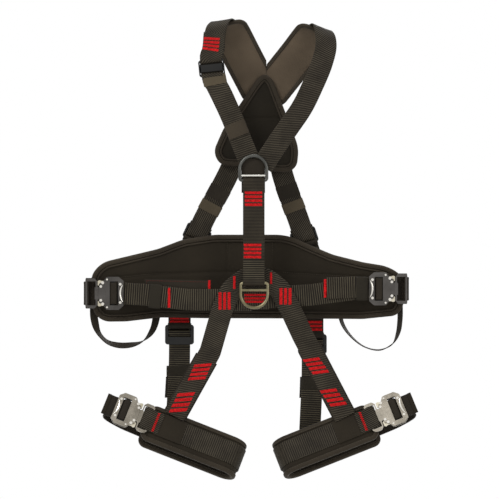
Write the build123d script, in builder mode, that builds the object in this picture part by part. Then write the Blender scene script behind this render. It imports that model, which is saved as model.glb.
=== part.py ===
from build123d import *
import math
import os

# Full-body safety harness, hanging as it is stored. Millimetres.
# +X is the wearer's left, -Y is the wearer's front, +Z is up.
# The origin is the middle of the eye of the dorsal ring.

# ---- Driving dimensions ------------------------------------------------------

WEB = 45.0  # width of the polyester webbing
WEB_T = 2.4  # thickness of one layer of webbing
GAP = 0.3  # room between layers that only lie on each other
SHOULDER_PAD_W = 79.0
SHOULDER_PAD_T = 7.0
SHOULDER_PAD_IN = 5.2  # from the webbing's middle to the middle of its padding
SHOULDER_PAD_UNDER = 8.2  # the same where the right padding passes under the left webbing
SHOULDER_MITRE_X = 17.0  # the two paddings meet here behind the neck

# Layers across the depth of the harness, back to front.
DORSAL_BAR_Y = 0.0
PLATE_Y = -7.9  # middle of the dorsal plate
WEB_B_Y = -11.2  # webbing from the right shoulder, outside
WEB_A_Y = -14.1  # webbing from the left shoulder, inside
BACK_PAD_Y = -29.0
BELLY_Y = -89.8  # middle of the doubled belly webbing
RISER_Y = -96.2  # risers lie in front of the belly webbing
CHEST_Y = -104.0  # shoulder webbing at the breastbone
CENTRE_STRAP_Y = -113.0  # bars of both front rings

# Rings: round bar bent to a D, with a cross bar that keeps the webbing in place.
RING_R = 3.4
RING_HALF_W = 28.0
RING_SIDE = 23.0
CROSS_BAR_R = 2.5
CROSS_BAR_AT = 9.8
BELLY_CROSS_BAR_R = 3.0
BELLY_CROSS_BAR_AT = 14.6
RING_CORNER = 5.0
RING_ROOM = 0.05  # between a ring's bar and the webbing folded round it
STERNAL = (-11.0, CENTRE_STRAP_Y, -132.0)
VENTRAL = (-9.0, CENTRE_STRAP_Y, -346.0)
DORSAL = (0.0, DORSAL_BAR_Y, -27.0)

# Quick-connect buckles: s runs from the mouth into the buckle, t across, n outwards.
PLATE_T = 2.0
PLATE_GAP = 5.2
BUCKLE_SLOT = (22.5, 40.0)
BAR_W = 7.0
BAR_T = 3.6
BAR_AT = 29.0
BAR_TRAVEL = 2.5
PIVOT = (8.0, 22.0)
PIVOT_R = 2.0
TAB_T = 4.0
TAB_SLOT = (-24.5, -7.0)
BUCKLE_MID = 97.0  # the waist buckles' middle plane in front of the origin

LEFT_BUCKLE = (-333.0, -BUCKLE_MID, -367.5)
RIGHT_BUCKLE = (282.0, -BUCKLE_MID, -358.0)

# Waist pad: an arc in plan, wider at the middle of the back.
WAIST_PAD_T = 11.0
WAIST_R = 849.0
WAIST_MID_X = -23.0
WAIST_BACK_Y = -8.0

# Leg loops: tilted down towards the middle and leaning back at the top.
LEG_TILT = 21.5
LEG_LEAN = 20.0
LEG_CENTRE = (-134.0, -100.0, -673.0)
LEG_MIRROR_X = 2.0
LEG_RIGHT_RISE = 2.0
LEG_PAD_H = 76.0
LEG_PAD_T = 9.0
LEG_PAD_END = -109.0  # the pad runs from here round the crotch and back again
LEG_OUT = 31.0  # outer radius of the pad's fold at the crotch
LEG_BEND_U = 76.0
LEG_BUCKLE_U = -128.0
LEG_BUCKLE_V = 3.0
LEG_BUCKLE_W = -5.0

os.makedirs("parts", exist_ok=True)


def write(part, label):
    """Name a finished piece and write it out."""
    part.label = label
    export_step(part, f"parts/{label}.step")


def unit(v):
    return Vector(*v).normalized()


# ---- Building blocks for the soft goods --------------------------------------


def web(points, across, width=WEB, thick=WEB_T):
    """Webbing laid through points; across gives its width direction at each one."""
    pts = [Vector(*p) for p in points]
    wide = [unit(a) for a in across]
    with BuildPart() as strap:
        for i, (p, a) in enumerate(zip(pts, wide)):
            before = pts[max(i - 1, 0)]
            after = pts[min(i + 1, len(pts) - 1)]
            along = (after - before).normalized()
            face = a.cross(along).normalized()
            with BuildSketch(Plane(origin=p, x_dir=a, z_dir=a.cross(face) * -1)):
                Rectangle(width, thick)
        loft(ruled=True)
    return strap.part


def flat_web(points, y, width, thick):
    """Webbing that lies in one upright plane facing the front, along a bent line."""
    with BuildPart() as strap:
        with BuildSketch(Plane.XZ.offset(-y - thick / 2)):
            with BuildLine():
                Polyline(*points)
            trace(line_width=width)
        extrude(amount=thick)
    return strap.part


# ---- Back: pad, plate, crossing webbing --------------------------------------

BACK_PAD_T = 9.0
BACK_PAD_OUTLINE = [
    (-41, 25), (-3, 82), (13, 95), (29, 82), (51, 25), (84, -62), (80, -99), (64, -112),
    (29, -110), (-8, -96), (-46, -99), (-80, -97), (-94, -70), (-72, -20),
]  # fmt: skip
with BuildPart() as back_pad:
    with BuildSketch(Plane.XZ.offset(-BACK_PAD_Y - BACK_PAD_T / 2)):
        with BuildLine():
            Polyline(*BACK_PAD_OUTLINE, close=True)
        make_face()
        fillet(vertices(), radius=9)
    extrude(amount=BACK_PAD_T)
write(back_pad.part, "back_pad")

DORSAL_PLATE_T = 3.0
with BuildPart() as dorsal_plate:
    with BuildSketch(Plane.XZ.offset(-PLATE_Y - DORSAL_PLATE_T / 2)):
        with BuildLine():
            Polyline((-40, -72), (-28, -5), (-36, 44), (36, 44), (28, -5), (40, -72), close=True)
        make_face()
        fillet(vertices(), radius=9)
        with Locations((0, -42), (0, -12)):
            SlotOverall(WEB + 6, 6, mode=Mode.SUBTRACT)
        for side in (-1, 1):
            with Locations(Location((side * 19, 28, 0), (0, 0, -side * 35))):
                SlotOverall(24, 5, mode=Mode.SUBTRACT)
    extrude(amount=DORSAL_PLATE_T)
write(dorsal_plate.part, "dorsal_plate")

# Each shoulder strap climbs from the crossing, turns over the shoulder and comes down in front.
LEFT_OVER = [
    ((30, -14.1, 10), (0.888, 0, 0.46)),
    ((9, -14.7, 50), (0.888, 0, 0.46)),
    ((-14, -15.5, 94), (0.888, 0, 0.46)),
    ((-38, -20, 140), (0.888, 0, 0.46)),
    ((-57, -31, 178), (0.90, -0.10, 0.40)),
    ((-68, -48, 199), (0.92, -0.28, 0.25)),
    ((-77, -67, 204), (0.93, -0.33, 0.12)),
    ((-86, -84, 192), (0.96, -0.20, 0.10)),
    ((-92, -92, 166), (1, -0.05, 0.03)),
    ((-94, -94, 140), (1, 0, 0.08)),
    ((-96, -94.5, 124), (1, 0, 0.10)),
]
RIGHT_OVER = [
    ((-15, -11.2, 10), (0.78, 0, -0.626)),
    ((16, -11.9, 48), (0.78, 0, -0.626)),
    ((43, -12.5, 82), (0.78, 0, -0.626)),
    ((86, -18, 136), (0.78, 0, -0.626)),
    ((110, -30, 168), (0.80, 0.10, -0.60)),
    ((124, -46, 186), (0.84, 0.30, -0.44)),
    ((132, -62, 190), (0.86, 0.36, -0.32)),
    ((138, -78, 178), (0.92, 0.26, -0.20)),
    ((141, -91, 150), (0.99, 0.1, -0.12)),
    ((133, -98, 115), (0.95, 0, -0.28)),
    ((113, -101, 66), (0.92, 0, -0.38)),
    ((91, -102.5, 21), (0.88, 0, -0.47)),
    ((62, -103.5, -22), (0.83, 0, -0.56)),
    ((36, CHEST_Y, -60), (0.82, 0, -0.57)),
    ((8, CHEST_Y, -103), (0.82, 0, -0.57)),
]
# Padded lining of each shoulder strap, on its inner side, mitred where the two meet.
for side, stations, lean in (("left", LEFT_OVER, -1), ("right", RIGHT_OVER, 1)):
    lining = []
    for i in range(1, 8):
        (x, y, z), across = stations[i]
        before = Vector(*stations[i - 1][0])
        after = Vector(*stations[i + 1][0])
        inward = unit(across).cross((after - before).normalized())
        inward = inward if inward.Y < 0 or inward.Z < 0 else inward * -1
        depth = SHOULDER_PAD_UNDER if side == "right" and i < 3 else SHOULDER_PAD_IN
        lining.append((Vector(x, y, z) + inward * depth, across))
    cushion = web([tuple(at) for at, a in lining], [a for at, a in lining], SHOULDER_PAD_W, SHOULDER_PAD_T)
    kept = Pos(SHOULDER_MITRE_X + lean * (150 + 0.2), -50, 100) * Box(300, 200, 400)
    write((cushion & kept).solid(), f"shoulder_pad_{side}")

# Webbing from the crossing down to the waist pad's adjusters.
rear_left = [(-22, WEB_B_Y, -13), (-34, WEB_B_Y, -44), (-56, -11.4, -99), (-112, -8.5, -214)]
rear_right = [(33, WEB_A_Y, -9), (37, WEB_A_Y, -44), (48, -14.3, -105), (86, -10.5, -222)]

# ---- Rings -------------------------------------------------------------------


def ring(at, up, cross_at=CROSS_BAR_AT, cross_r=CROSS_BAR_R):
    """A D-ring on a straight hinge bar along X, its eye above (up=1) or below (up=-1)."""
    x, y, z = at
    w = RING_HALF_W
    corner = RING_CORNER
    plane = Plane(origin=at, x_dir=(1, 0, 0), z_dir=(0, -1, 0))
    with BuildPart() as dee:
        with BuildLine(plane) as rim:
            bottom = Line((-w + corner, 0), (w - corner, 0))
            right = RadiusArc(bottom @ 1, (w, up * corner), -corner * up)
            right_side = Line(right @ 1, (w, up * RING_SIDE))
            arc = ThreePointArc(right_side @ 1, (0, up * (RING_SIDE + w)), (-w, up * RING_SIDE))
            left_side = Line(arc @ 1, (-w, up * corner))
            RadiusArc(left_side @ 1, bottom @ 0, -corner * up)
        with BuildSketch(Plane(origin=rim.line @ 0, z_dir=rim.line % 0)):
            Circle(RING_R)
        sweep(path=rim.wires()[0])
        with BuildSketch(Plane(origin=(x - w, y, z + up * cross_at), z_dir=(1, 0, 0))):
            Circle(cross_r)
        extrude(amount=2 * w)
    return dee.part


write(ring(STERNAL, 1), "sternal_ring")
write(ring(VENTRAL, -1, BELLY_CROSS_BAR_AT, BELLY_CROSS_BAR_R), "ventral_ring")
write(ring(DORSAL, 1), "dorsal_ring")

# Webbing is folded round each ring's straight bar; the inside of the fold is its bearing.
FOLD_IN_R = RING_R + RING_ROOM
FOLD_LEG_Y = FOLD_IN_R + WEB_T / 2
DORSAL_FOLD_L = 44.0
with BuildPart() as dorsal_fold:
    with BuildSketch(Plane(origin=DORSAL, x_dir=(0, 1, 0), z_dir=(1, 0, 0))):
        Circle(FOLD_IN_R + WEB_T)
        with Locations((-FOLD_LEG_Y, -DORSAL_FOLD_L / 2)):
            Rectangle(WEB_T, DORSAL_FOLD_L)
        Circle(FOLD_IN_R, mode=Mode.SUBTRACT)
    extrude(amount=WEB / 2 - 1, both=True)
write(dorsal_fold.part, "dorsal_ring_fold")

# The centre strap hangs from the sternal ring and carries the ventral ring at its lower end.
STRAP_TOP = STERNAL[2]
STRAP_FOOT = VENTRAL[2]
CENTRE_STRAP_X = -10.0
with BuildPart() as centre_strap:
    with BuildSketch(Plane(origin=(CENTRE_STRAP_X, CENTRE_STRAP_Y, 0), x_dir=(0, 1, 0), z_dir=(1, 0, 0))):
        for z in (STRAP_TOP, STRAP_FOOT):
            with Locations((0, z)):
                Circle(FOLD_IN_R + WEB_T)
        for leg in (-1, 1):
            with Locations((leg * FOLD_LEG_Y, (STRAP_TOP + STRAP_FOOT) / 2)):
                Rectangle(WEB_T, STRAP_TOP - STRAP_FOOT)
        for z in (STRAP_TOP, STRAP_FOOT):
            with Locations((0, z)):
                Circle(FOLD_IN_R, mode=Mode.SUBTRACT)
    extrude(amount=WEB / 2, both=True)
write(centre_strap.part, "centre_strap")

# ---- Left shoulder: adjuster and the strap below it --------------------------


ADJUSTER_T = 4.0
TAB_LAYER = 3.5  # webbing that leaves an adjuster lies this far off its middle plane


def adjuster(plane, width, height, bars):
    """A ladder-lock frame: two slots beside a middle bar, across the webbing."""
    top, upper, lower, bottom = bars
    with BuildPart() as frame:
        with BuildSketch(plane.offset(-ADJUSTER_T / 2)):
            RectangleRounded(width, height, 6)
            for low, high in ((upper, top), (bottom, lower)):
                with Locations((0, (low + high) / 2)):
                    RectangleRounded(WEB + 3, high - low, 1.5, mode=Mode.SUBTRACT)
        extrude(amount=ADJUSTER_T)
    return frame.part


def bar_fold(plane, at, bar, legs):
    """Webbing folded round one bar of an adjuster; each leg is (start, end, depth)."""
    inner_t = ADJUSTER_T + 0.6
    across = Plane(origin=plane.origin, x_dir=plane.y_dir, z_dir=plane.x_dir)
    with BuildPart() as fold:
        with BuildSketch(across):
            with Locations((at, 0)):
                RectangleRounded(bar + 0.6 + 2 * WEB_T, inner_t + 2 * WEB_T, 3)
            for start, end, depth in legs:
                with Locations(((start + end) / 2, depth)):
                    Rectangle(abs(end - start), WEB_T)
            with Locations((at, 0)):
                RectangleRounded(bar + 0.6, inner_t, 1, mode=Mode.SUBTRACT)
        extrude(amount=WEB / 2, both=True)
    return fold.part


def face_plane(x, y, z, tilt=0.0):
    """A plane facing the front; its y axis runs up the strap, leaning by tilt degrees."""
    a = math.radians(tilt)
    return Plane(origin=(x, y, z), x_dir=(math.cos(a), 0, math.sin(a)), z_dir=(0, -1, 0))


SHOULDER_ADJ = face_plane(-98, -98, 103, 6)
write(adjuster(SHOULDER_ADJ, 54, 36, (13, 8, -8, -13)), "shoulder_adjuster")
over = web([p for p, a in LEFT_OVER], [a for p, a in LEFT_OVER])
tab = bar_fold(SHOULDER_ADJ, 15.5, 5, [(18, 26, -TAB_LAYER)])
write(over + tab, "shoulder_strap_left")
write(web([p for p, a in RIGHT_OVER], [a for p, a in RIGHT_OVER]), "shoulder_strap_right")
lower_points = [(-96, -94.5, 84), (-88, -97, 68), (-58, -102, 5), (-36, CHEST_Y, -50), (-22, CHEST_Y, -84)]
lower_across = [(1, 0, 0.1), (0.95, 0, 0.3), (0.93, 0, 0.37), (0.93, 0, 0.37), (0.93, 0, 0.37)]
lower = web(lower_points, lower_across, WEB, 3.2)
lower_tab = bar_fold(SHOULDER_ADJ, -15.5, 5, [(-18, -26, -TAB_LAYER)])
write(lower + lower_tab, "shoulder_strap_left_lower")

REAR_ADJ = {"left": face_plane(-130, -5, -244, -25), "right": face_plane(97, -7, -250, 18)}
for side, run in (("left", rear_left), ("right", rear_right)):
    plane = REAR_ADJ[side]
    across = plane.x_dir
    strap = web(run, [(0.94, 0, 0.34 * math.copysign(1, across.Z))] * 3 + [tuple(across)])
    write(strap + bar_fold(plane, 0, 14, [(4, 46, TAB_LAYER)]), f"rear_strap_{side}")
    write(adjuster(plane, 56, 34, (13, 7, -7, -13)), f"rear_adjuster_{side}")
pad_tabs = [bar_fold(p, -15.5, 5, [(-18, -56, -TAB_LAYER)]).solid() for p in REAR_ADJ.values()]

# The patch that joins both shoulder straps to the centre strap, behind the ring's eye.
with BuildPart() as chest_patch:
    with BuildSketch(Plane.XZ.offset(105.9)):
        with Locations((-11, -124)):
            RectangleRounded(WEB + 4, 66, 8)
    extrude(amount=1.0)
write(chest_patch.part, "chest_patch")

# ---- Waist: pad, belt behind it, belly webbing in front ----------------------

WAIST_OUTLINE = [
    (-93, -246), (60, -246), (116, -271), (156, -288), (219, -304), (268, -312), (293, -326),
    (304, -345), (304, -388), (291, -413), (219, -421), (-110, -420), (-207, -418),
    (-278, -426), (-324, -426), (-345, -408), (-350, -330), (-327, -304), (-211, -276), (-159, -256),
]  # fmt: skip


def waist_band(outline, inner, outer, round_off=0.0):
    """A piece that follows the waist's arc, cut to an outline seen from the front."""
    with BuildPart() as band:
        with BuildSketch(Plane.XZ):
            with BuildLine():
                Polyline(*outline, close=True)
            make_face()
            if round_off:
                fillet(vertices(), radius=round_off)
        extrude(amount=150)
        with BuildSketch(Plane.XY.offset(-600)):
            with Locations((WAIST_MID_X, WAIST_BACK_Y - WAIST_R)):
                Circle(WAIST_R + outer)
                Circle(WAIST_R + inner, mode=Mode.SUBTRACT)
        extrude(amount=500, mode=Mode.INTERSECT)
    return band.part


def waist_y(x):
    """The y of the waist pad's outer face at x."""
    return WAIST_BACK_Y - WAIST_R + math.sqrt(WAIST_R**2 - (x - WAIST_MID_X) ** 2)


write(waist_band(WAIST_OUTLINE, -WAIST_PAD_T, 0, 4), "waist_pad")

left_x, _, left_z = LEFT_BUCKLE
right_x, _, right_z = RIGHT_BUCKLE
half_web = WEB / 2
belt_outline = [
    (-350, left_z - half_web), (304, right_z - half_web),
    (304, right_z + half_web), (-350, left_z + half_web),
]  # fmt: skip
belt = waist_band(belt_outline, GAP, GAP + WEB_T)

# ---- Quick-connect buckles ---------------------------------------------------


def buckle_plane(origin, s, n):
    return Plane(origin=origin, x_dir=s, z_dir=n)


def mirrored(points):
    """The outline's upper half, closed by its mirror image in t."""
    return points + [(s, -t) for s, t in reversed(points)]


def outline_face(points, radius):
    """Adds the rounded outline to the sketch that is open where this is called."""
    Polygon(*points, align=None)
    fillet(vertices(), radius=radius)


PLATE_HALF = [(0, 20), (8, 23), (15, 33.5), (19, 34.5), (41, 34.5), (51, 26)]
LEVER_HALF = [
    (-2.5, 16.5), (-2.5, 26), (1, 27.5), (5, 26), (11, 26),
    (17, 20), (16.4, 11), (13.4, 11), (12.6, 14.5), (5, 16.5),
]  # fmt: skip
TONGUE_HALF = [(-9, 12.5), (12.8, 12.5), (12.8, 10.4), (18.4, 10.4), (18.4, 12.5), (20, 12.5), (21.5, 9)]
TAB_FRAME = [(-28.5, 27), (-24, 31.5), (-10, 31.5), (-4.5, 26), (-4.5, 15), (-1.5, 13)]
STUDS = [(44.5, 19), (4, 14.5), (17, 29)]
LEVER_BACK = -2.4
LEVER_T = 3.4


def buckle_body(plane):
    """Two forged plates joined by the end block, with the webbing slot through them."""
    half_gap = PLATE_GAP / 2
    with BuildPart() as body:
        for low in (half_gap, -half_gap - PLATE_T):
            with BuildSketch(plane.offset(low)):
                outline_face(mirrored(PLATE_HALF), 2)
            extrude(amount=PLATE_T)
        with BuildSketch(plane.offset(-half_gap)):
            with Locations((46, 0)):
                Rectangle(10, 46)
        extrude(amount=PLATE_GAP)
        with BuildSketch(plane.offset(-half_gap - PLATE_T)):
            with Locations(((BUCKLE_SLOT[0] + BUCKLE_SLOT[1]) / 2, 0)):
                Rectangle(BUCKLE_SLOT[1] - BUCKLE_SLOT[0], 50)
        extrude(amount=PLATE_GAP + 2 * PLATE_T, mode=Mode.SUBTRACT)
        with BuildSketch(plane.offset(half_gap)):
            with Locations((79.7, 0)):
                Circle(34.7)
        extrude(amount=PLATE_T, mode=Mode.SUBTRACT)
        with BuildSketch(plane.offset(-half_gap - PLATE_T)):
            with Locations(*[(PIVOT[0], t * PIVOT[1]) for t in (-1, 1)]):
                Circle(PIVOT_R + 0.02)
        extrude(amount=PLATE_GAP + 2 * PLATE_T, mode=Mode.SUBTRACT)
        with BuildSketch(plane.offset(half_gap)):
            with Locations(*[(s, side * t) for s, t in STUDS for side in (-1, 1)]):
                Circle(1.52)
        extrude(amount=PLATE_T, mode=Mode.SUBTRACT)
    return body.part


def buckle_rivets(plane):
    """Pivot pins of the levers and the short rivets in the front plate."""
    top = PLATE_GAP / 2 + PLATE_T
    with BuildPart() as rivets:
        with BuildSketch(plane.offset(-top)):
            with Locations(*[(PIVOT[0], t * PIVOT[1]) for t in (-1, 1)]):
                Circle(PIVOT_R)
        extrude(amount=2 * top)
        with BuildSketch(plane.offset(top)):
            with Locations(*[(PIVOT[0], t * PIVOT[1]) for t in (-1, 1)]):
                Circle(3)
            with Locations(*[(s, side * t) for s, t in STUDS[:2] for side in (-1, 1)]):
                Circle(2.8)
            with Locations(*[(STUDS[2][0], side * STUDS[2][1]) for side in (-1, 1)]):
                Circle(2)
        extrude(amount=1.0)
        with BuildSketch(plane.offset(PLATE_GAP / 2)):
            with Locations(*[(s, side * t) for s, t in STUDS for side in (-1, 1)]):
                Circle(1.5)
        extrude(amount=PLATE_T)
    return rivets.part


def buckle_springs(plane):
    """The levers' torsion springs, as closed rings round the pivot pins."""
    with BuildPart() as springs:
        with BuildSketch(plane.offset(LEVER_BACK + LEVER_T + 0.15)):
            with Locations(*[(PIVOT[0], t * PIVOT[1]) for t in (-1, 1)]):
                Circle(3.6)
                Circle(PIVOT_R + 0.1, mode=Mode.SUBTRACT)
        extrude(amount=1.2)
    return springs.part


def lever(plane, side):
    """A release lever: thumb pad, pivot hole and the hook behind the tab's head."""
    with BuildPart() as arm:
        with BuildSketch(plane.offset(LEVER_BACK)):
            outline_face([(s, side * t) for s, t in LEVER_HALF], 0.9)
            with Locations((PIVOT[0], side * PIVOT[1])):
                Circle(PIVOT_R + 0.05, mode=Mode.SUBTRACT)
        extrude(amount=LEVER_T)
    return arm.part


def slide_bar(plane):
    """The loose bar that the adjustable webbing turns round."""
    with BuildPart() as bar:
        with BuildSketch(plane.offset(-BAR_T / 2)):
            with Locations((BAR_AT, 0)):
                RectangleRounded(BAR_W, 58, 1.2)
        extrude(amount=BAR_T)
        fillet(bar.edges().filter_by(Axis(plane.origin, plane.y_dir)), radius=0.8)
    return bar.part


def male_tab(plane, guarded):
    """The tab that plugs in; a guarded one hides its webbing bar behind a front rim."""
    with BuildPart() as tab:
        with BuildSketch(plane.offset(-TAB_T / 2)):
            outline_face(mirrored(TONGUE_HALF), 0.6)
        extrude(amount=TAB_T)
        rim_low = 0.6 if guarded else -TAB_T / 2
        with BuildSketch(plane.offset(rim_low)):
            outline_face(mirrored(TAB_FRAME), 2)
            with Locations(((TAB_SLOT[0] + TAB_SLOT[1]) / 2, 0)):
                Rectangle(TAB_SLOT[1] - TAB_SLOT[0], 50, mode=Mode.SUBTRACT)
        extrude(amount=2.0 if guarded else TAB_T)
        if guarded:
            with BuildSketch(plane.offset(-5)):
                with Locations((-17.5, 28), (-17.5, -28)):
                    Rectangle(19, 5.8)
                with Locations((-26.5, 0)):
                    Rectangle(4, 60)
            extrude(amount=2.6)
            with BuildSketch(plane.offset(-2.4)):
                with Locations((-17.5, 28), (-17.5, -28)):
                    Rectangle(19, 5.8)
            extrude(amount=3.0)
            with BuildSketch(plane.offset(-TAB_T / 2)):
                with Locations((-5, 0)):
                    Rectangle(4, 50)
            extrude(amount=2.6)
    return tab.part


def female_fold(plane, leg):
    """Webbing round the slide bar, both layers leaving behind the end block."""
    side = Plane(origin=plane.origin, x_dir=plane.x_dir, z_dir=plane.y_dir * -1)
    inner_w = BAR_W + BAR_TRAVEL + 0.7
    inner_t = BAR_T + 0.5
    middle = BAR_AT - BAR_W / 2 - 0.3 + inner_w / 2
    with BuildPart() as fold:
        with BuildSketch(side):
            with Locations((middle, 0)):
                RectangleRounded(inner_w + 2 * WEB_T, inner_t + 2 * WEB_T, 3.2)
            with Locations((35.9, -6.4)):
                Rectangle(3.8, 7)
            with Locations((34 + leg / 2, -7.4)):
                Rectangle(leg, 5)
            with Locations((middle, 0)):
                RectangleRounded(inner_w, inner_t, 1, mode=Mode.SUBTRACT)
        extrude(amount=WEB / 2, both=True)
    return fold.part


def leg_axis(side):
    """Unit vectors u (towards the crotch), v (up the loop) and w (to the back)."""
    a = math.radians(LEG_TILT)
    b = math.radians(LEG_LEAN)
    u = Vector(math.cos(a), 0, -math.sin(a))
    up = Vector(math.sin(a), 0, math.cos(a))
    v = up * math.cos(b) + Vector(0, 1, 0) * math.sin(b)
    w = Vector(0, 1, 0) * math.cos(b) - up * math.sin(b)
    c = Vector(*LEG_CENTRE)
    if side == "right":
        u, v, w = (Vector(-d.X, d.Y, d.Z) for d in (u, v, w))
        c = Vector(2 * LEG_MIRROR_X - c.X, c.Y, c.Z + LEG_RIGHT_RISE)
    return c, u, v, w


def leg_point(side, u, v, w):
    c, du, dv, dw = leg_axis(side)
    return c + du * u + dv * v + dw * w


planes = {
    "waist_left": buckle_plane(LEFT_BUCKLE, (1, 0, 0), (0, -1, 0)),
    "waist_right": buckle_plane(RIGHT_BUCKLE, (-1, 0, 0), (0, -1, 0)),
}
for side in ("left", "right"):
    c, u, v, w = leg_axis(side)
    planes[f"leg_{side}"] = buckle_plane(
        leg_point(side, LEG_BUCKLE_U, LEG_BUCKLE_V, LEG_BUCKLE_W), u * -1, w * -1
    )

rivets = []
springs = []
for name, plane in planes.items():
    write(buckle_body(plane), f"{name}_buckle_body")
    write(male_tab(plane, name.startswith("waist")), f"{name}_buckle_tab")
    upper = 1 if plane.y_dir.Z > 0 else -1
    write(lever(plane, upper), f"{name}_lever_upper")
    write(lever(plane, -upper), f"{name}_lever_lower")
    write(slide_bar(plane), f"{name}_slide_bar")
    rivets += buckle_rivets(plane).solids()
    springs += buckle_springs(plane).solids()
write(Compound(children=rivets), "buckle_rivets")
write(Compound(children=springs), "lever_springs")

# ---- Belt and belly webbing at the waist buckles -----------------------------


def guarded_fold(plane, reach):
    """Webbing round a guarded tab's rear bar, turning back round the end of the pad."""
    side = Plane(origin=plane.origin, x_dir=plane.x_dir, z_dir=plane.y_dir * -1)
    with BuildPart() as fold:
        with BuildSketch(side):
            with Locations((-26.5, -3.7)):
                RectangleRounded(9.4, 8.0, 3)
            with Locations((-28.8, -3.7 - reach / 2)):
                Rectangle(4.8, reach)
            with Locations((-24, -2.5 - reach)):
                Rectangle(14.4, WEB_T)
            with Locations((-26.5, -3.7)):
                RectangleRounded(4.6, 3.2, 0.8, mode=Mode.SUBTRACT)
        extrude(amount=WEB / 2, both=True)
    return fold.part


left_fold = guarded_fold(planes["waist_left"], 22.7)
right_fold = guarded_fold(planes["waist_right"], 24.7)
write(belt + left_fold + right_fold, "waist_belt")

left_run = [(-290, left_z), (-240, left_z - 3), (-150, -381), (-13, -382)]
right_run = [(239, right_z), (200, right_z - 1), (110, -371), (-10, -378)]
for side, run in (("left", left_run), ("right", right_run)):
    strap = flat_web(run, BELLY_Y, WEB + 1, 4.8)
    write(strap + female_fold(planes[f"waist_{side}"], 24), f"belly_strap_{side}")

# ---- Front risers, an arch behind the ventral ring ---------------------------

ARCH_TOP = -334
with BuildPart() as riser_left:
    with BuildSketch(Plane.XZ.offset(-RISER_Y - WEB_T / 2)):
        with BuildLine():
            FilletPolyline(
                (-9.7, ARCH_TOP), (-34, ARCH_TOP), (-72, -394), (-101, -490), (-176, -624), radius=30
            )
        trace(line_width=WEB)
    extrude(amount=WEB_T)
write(riser_left.part, "riser_left")
with BuildPart() as riser_right:
    with BuildSketch(Plane.XZ.offset(-RISER_Y - WEB_T / 2)):
        with BuildLine():
            FilletPolyline((-8.3, ARCH_TOP), (20, ARCH_TOP), (62, -392), (92, -455), (181, -626), radius=30)
        trace(line_width=WEB)
    extrude(amount=WEB_T)
write(riser_right.part, "riser_right")

# ---- Leg loops ---------------------------------------------------------------


def bent_band(plane, outside, thick, start_u, back_u, height):
    """A U-shaped band in the loop's plan: front, fold at the crotch, back."""
    mid = LEG_OUT
    with BuildPart() as band:
        with BuildSketch(plane):
            with BuildLine():
                front = Line((start_u, mid - outside), (LEG_BEND_U, mid - outside))
                bend = ThreePointArc(front @ 1, (LEG_BEND_U + outside, mid), (LEG_BEND_U, mid + outside))
                back = Line(bend @ 1, (back_u, mid + outside))
                across = Line(back @ 1, (back_u, mid + outside - thick))
                inner = Line(across @ 1, (LEG_BEND_U, mid + outside - thick))
                small = ThreePointArc(
                    inner @ 1, (LEG_BEND_U + outside - thick, mid), (LEG_BEND_U, mid - outside + thick)
                )
                last = Line(small @ 1, (start_u, mid - outside + thick))
                Line(last @ 1, front @ 0)
            make_face()
        extrude(amount=height / 2, both=True)
    return band.part


for side in ("left", "right"):
    c, u, v, w = leg_axis(side)
    plan = Plane(origin=c, x_dir=u, z_dir=v if side == "left" else v * -1)
    high = Plane(origin=c + v * LEG_BUCKLE_V, x_dir=u, z_dir=plan.z_dir)
    write(bent_band(plan, LEG_OUT, LEG_PAD_T, LEG_PAD_END, LEG_PAD_END, LEG_PAD_H), f"leg_pad_{side}")

    # The webbing on the pad ends in a fold round the tab's outer bar.
    sewn = bent_band(high, LEG_OUT + GAP + WEB_T, WEB_T, -98, LEG_PAD_END, 48)
    tab_u = LEG_BUCKLE_U + 26.5
    with BuildPart() as tab_fold:
        with BuildSketch(high):
            with Locations((tab_u, LEG_BUCKLE_W)):
                RectangleRounded(9.4, 9.4, 4)
            with Locations((tab_u + 8, LEG_BUCKLE_W + 3.5)):
                Rectangle(16, WEB_T)
            with Locations((tab_u, LEG_BUCKLE_W)):
                RectangleRounded(4.6, 4.6, 0.7, mode=Mode.SUBTRACT)
        extrude(amount=WEB / 2, both=True)
    write(sewn + tab_fold.part, f"leg_web_{side}")

    # The adjustable end: round the outside of the thigh to the buckle, with a folded tail.
    with BuildPart() as tail:
        with BuildSketch(high):
            with BuildLine():
                Spline(
                    (-110.3, 63.4), (-160, 56), (-193, 32), (-194, 12), (-174, 3.4),
                    tangents=[(-1, 0), (1, -0.1)],
                )  # fmt: skip
            trace(line_width=WEB_T)
            with Locations((-189, 1.2)):
                Rectangle(30, WEB_T)
        extrude(amount=WEB / 2, both=True)
    fold = female_fold(planes[f"leg_{side}"], 14)
    write(tail.part + fold, f"leg_tail_{side}")

# ---- Rear leg straps ---------------------------------------------------------

LEG_TAB_TOP = -400.0  # the tabs of the leg straps reach up to here behind the waist pad
LEG_ADJ = {
    "left": face_plane(-167, -15, -456),
    "right": face_plane(114, -15, -476),
}
for side, foot in (("left", (-174, -25.5, -650)), ("right", (108, -25.5, -672))):
    plane = LEG_ADJ[side]
    x, y, z = plane.origin
    write(adjuster(plane, 61, 42, (15, 7, 1, -5)), f"leg_adjuster_{side}")
    pad_tabs.append(bar_fold(plane, 18, 6, [(20, LEG_TAB_TOP - z, -TAB_LAYER)]).solid())
    run = [(x, y + TAB_LAYER, z - 16), (x - 1, y + 2.5, z - 40), foot]
    strap = web(run, [(1, 0, 0)] * 3)
    write(strap + bar_fold(plane, 4, 6, [(1, -19, -TAB_LAYER)]), f"rear_leg_strap_{side}")
write(Compound(children=pad_tabs), "waist_pad_tabs")

# ---- Gear loops and elastic keepers ------------------------------------------

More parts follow.
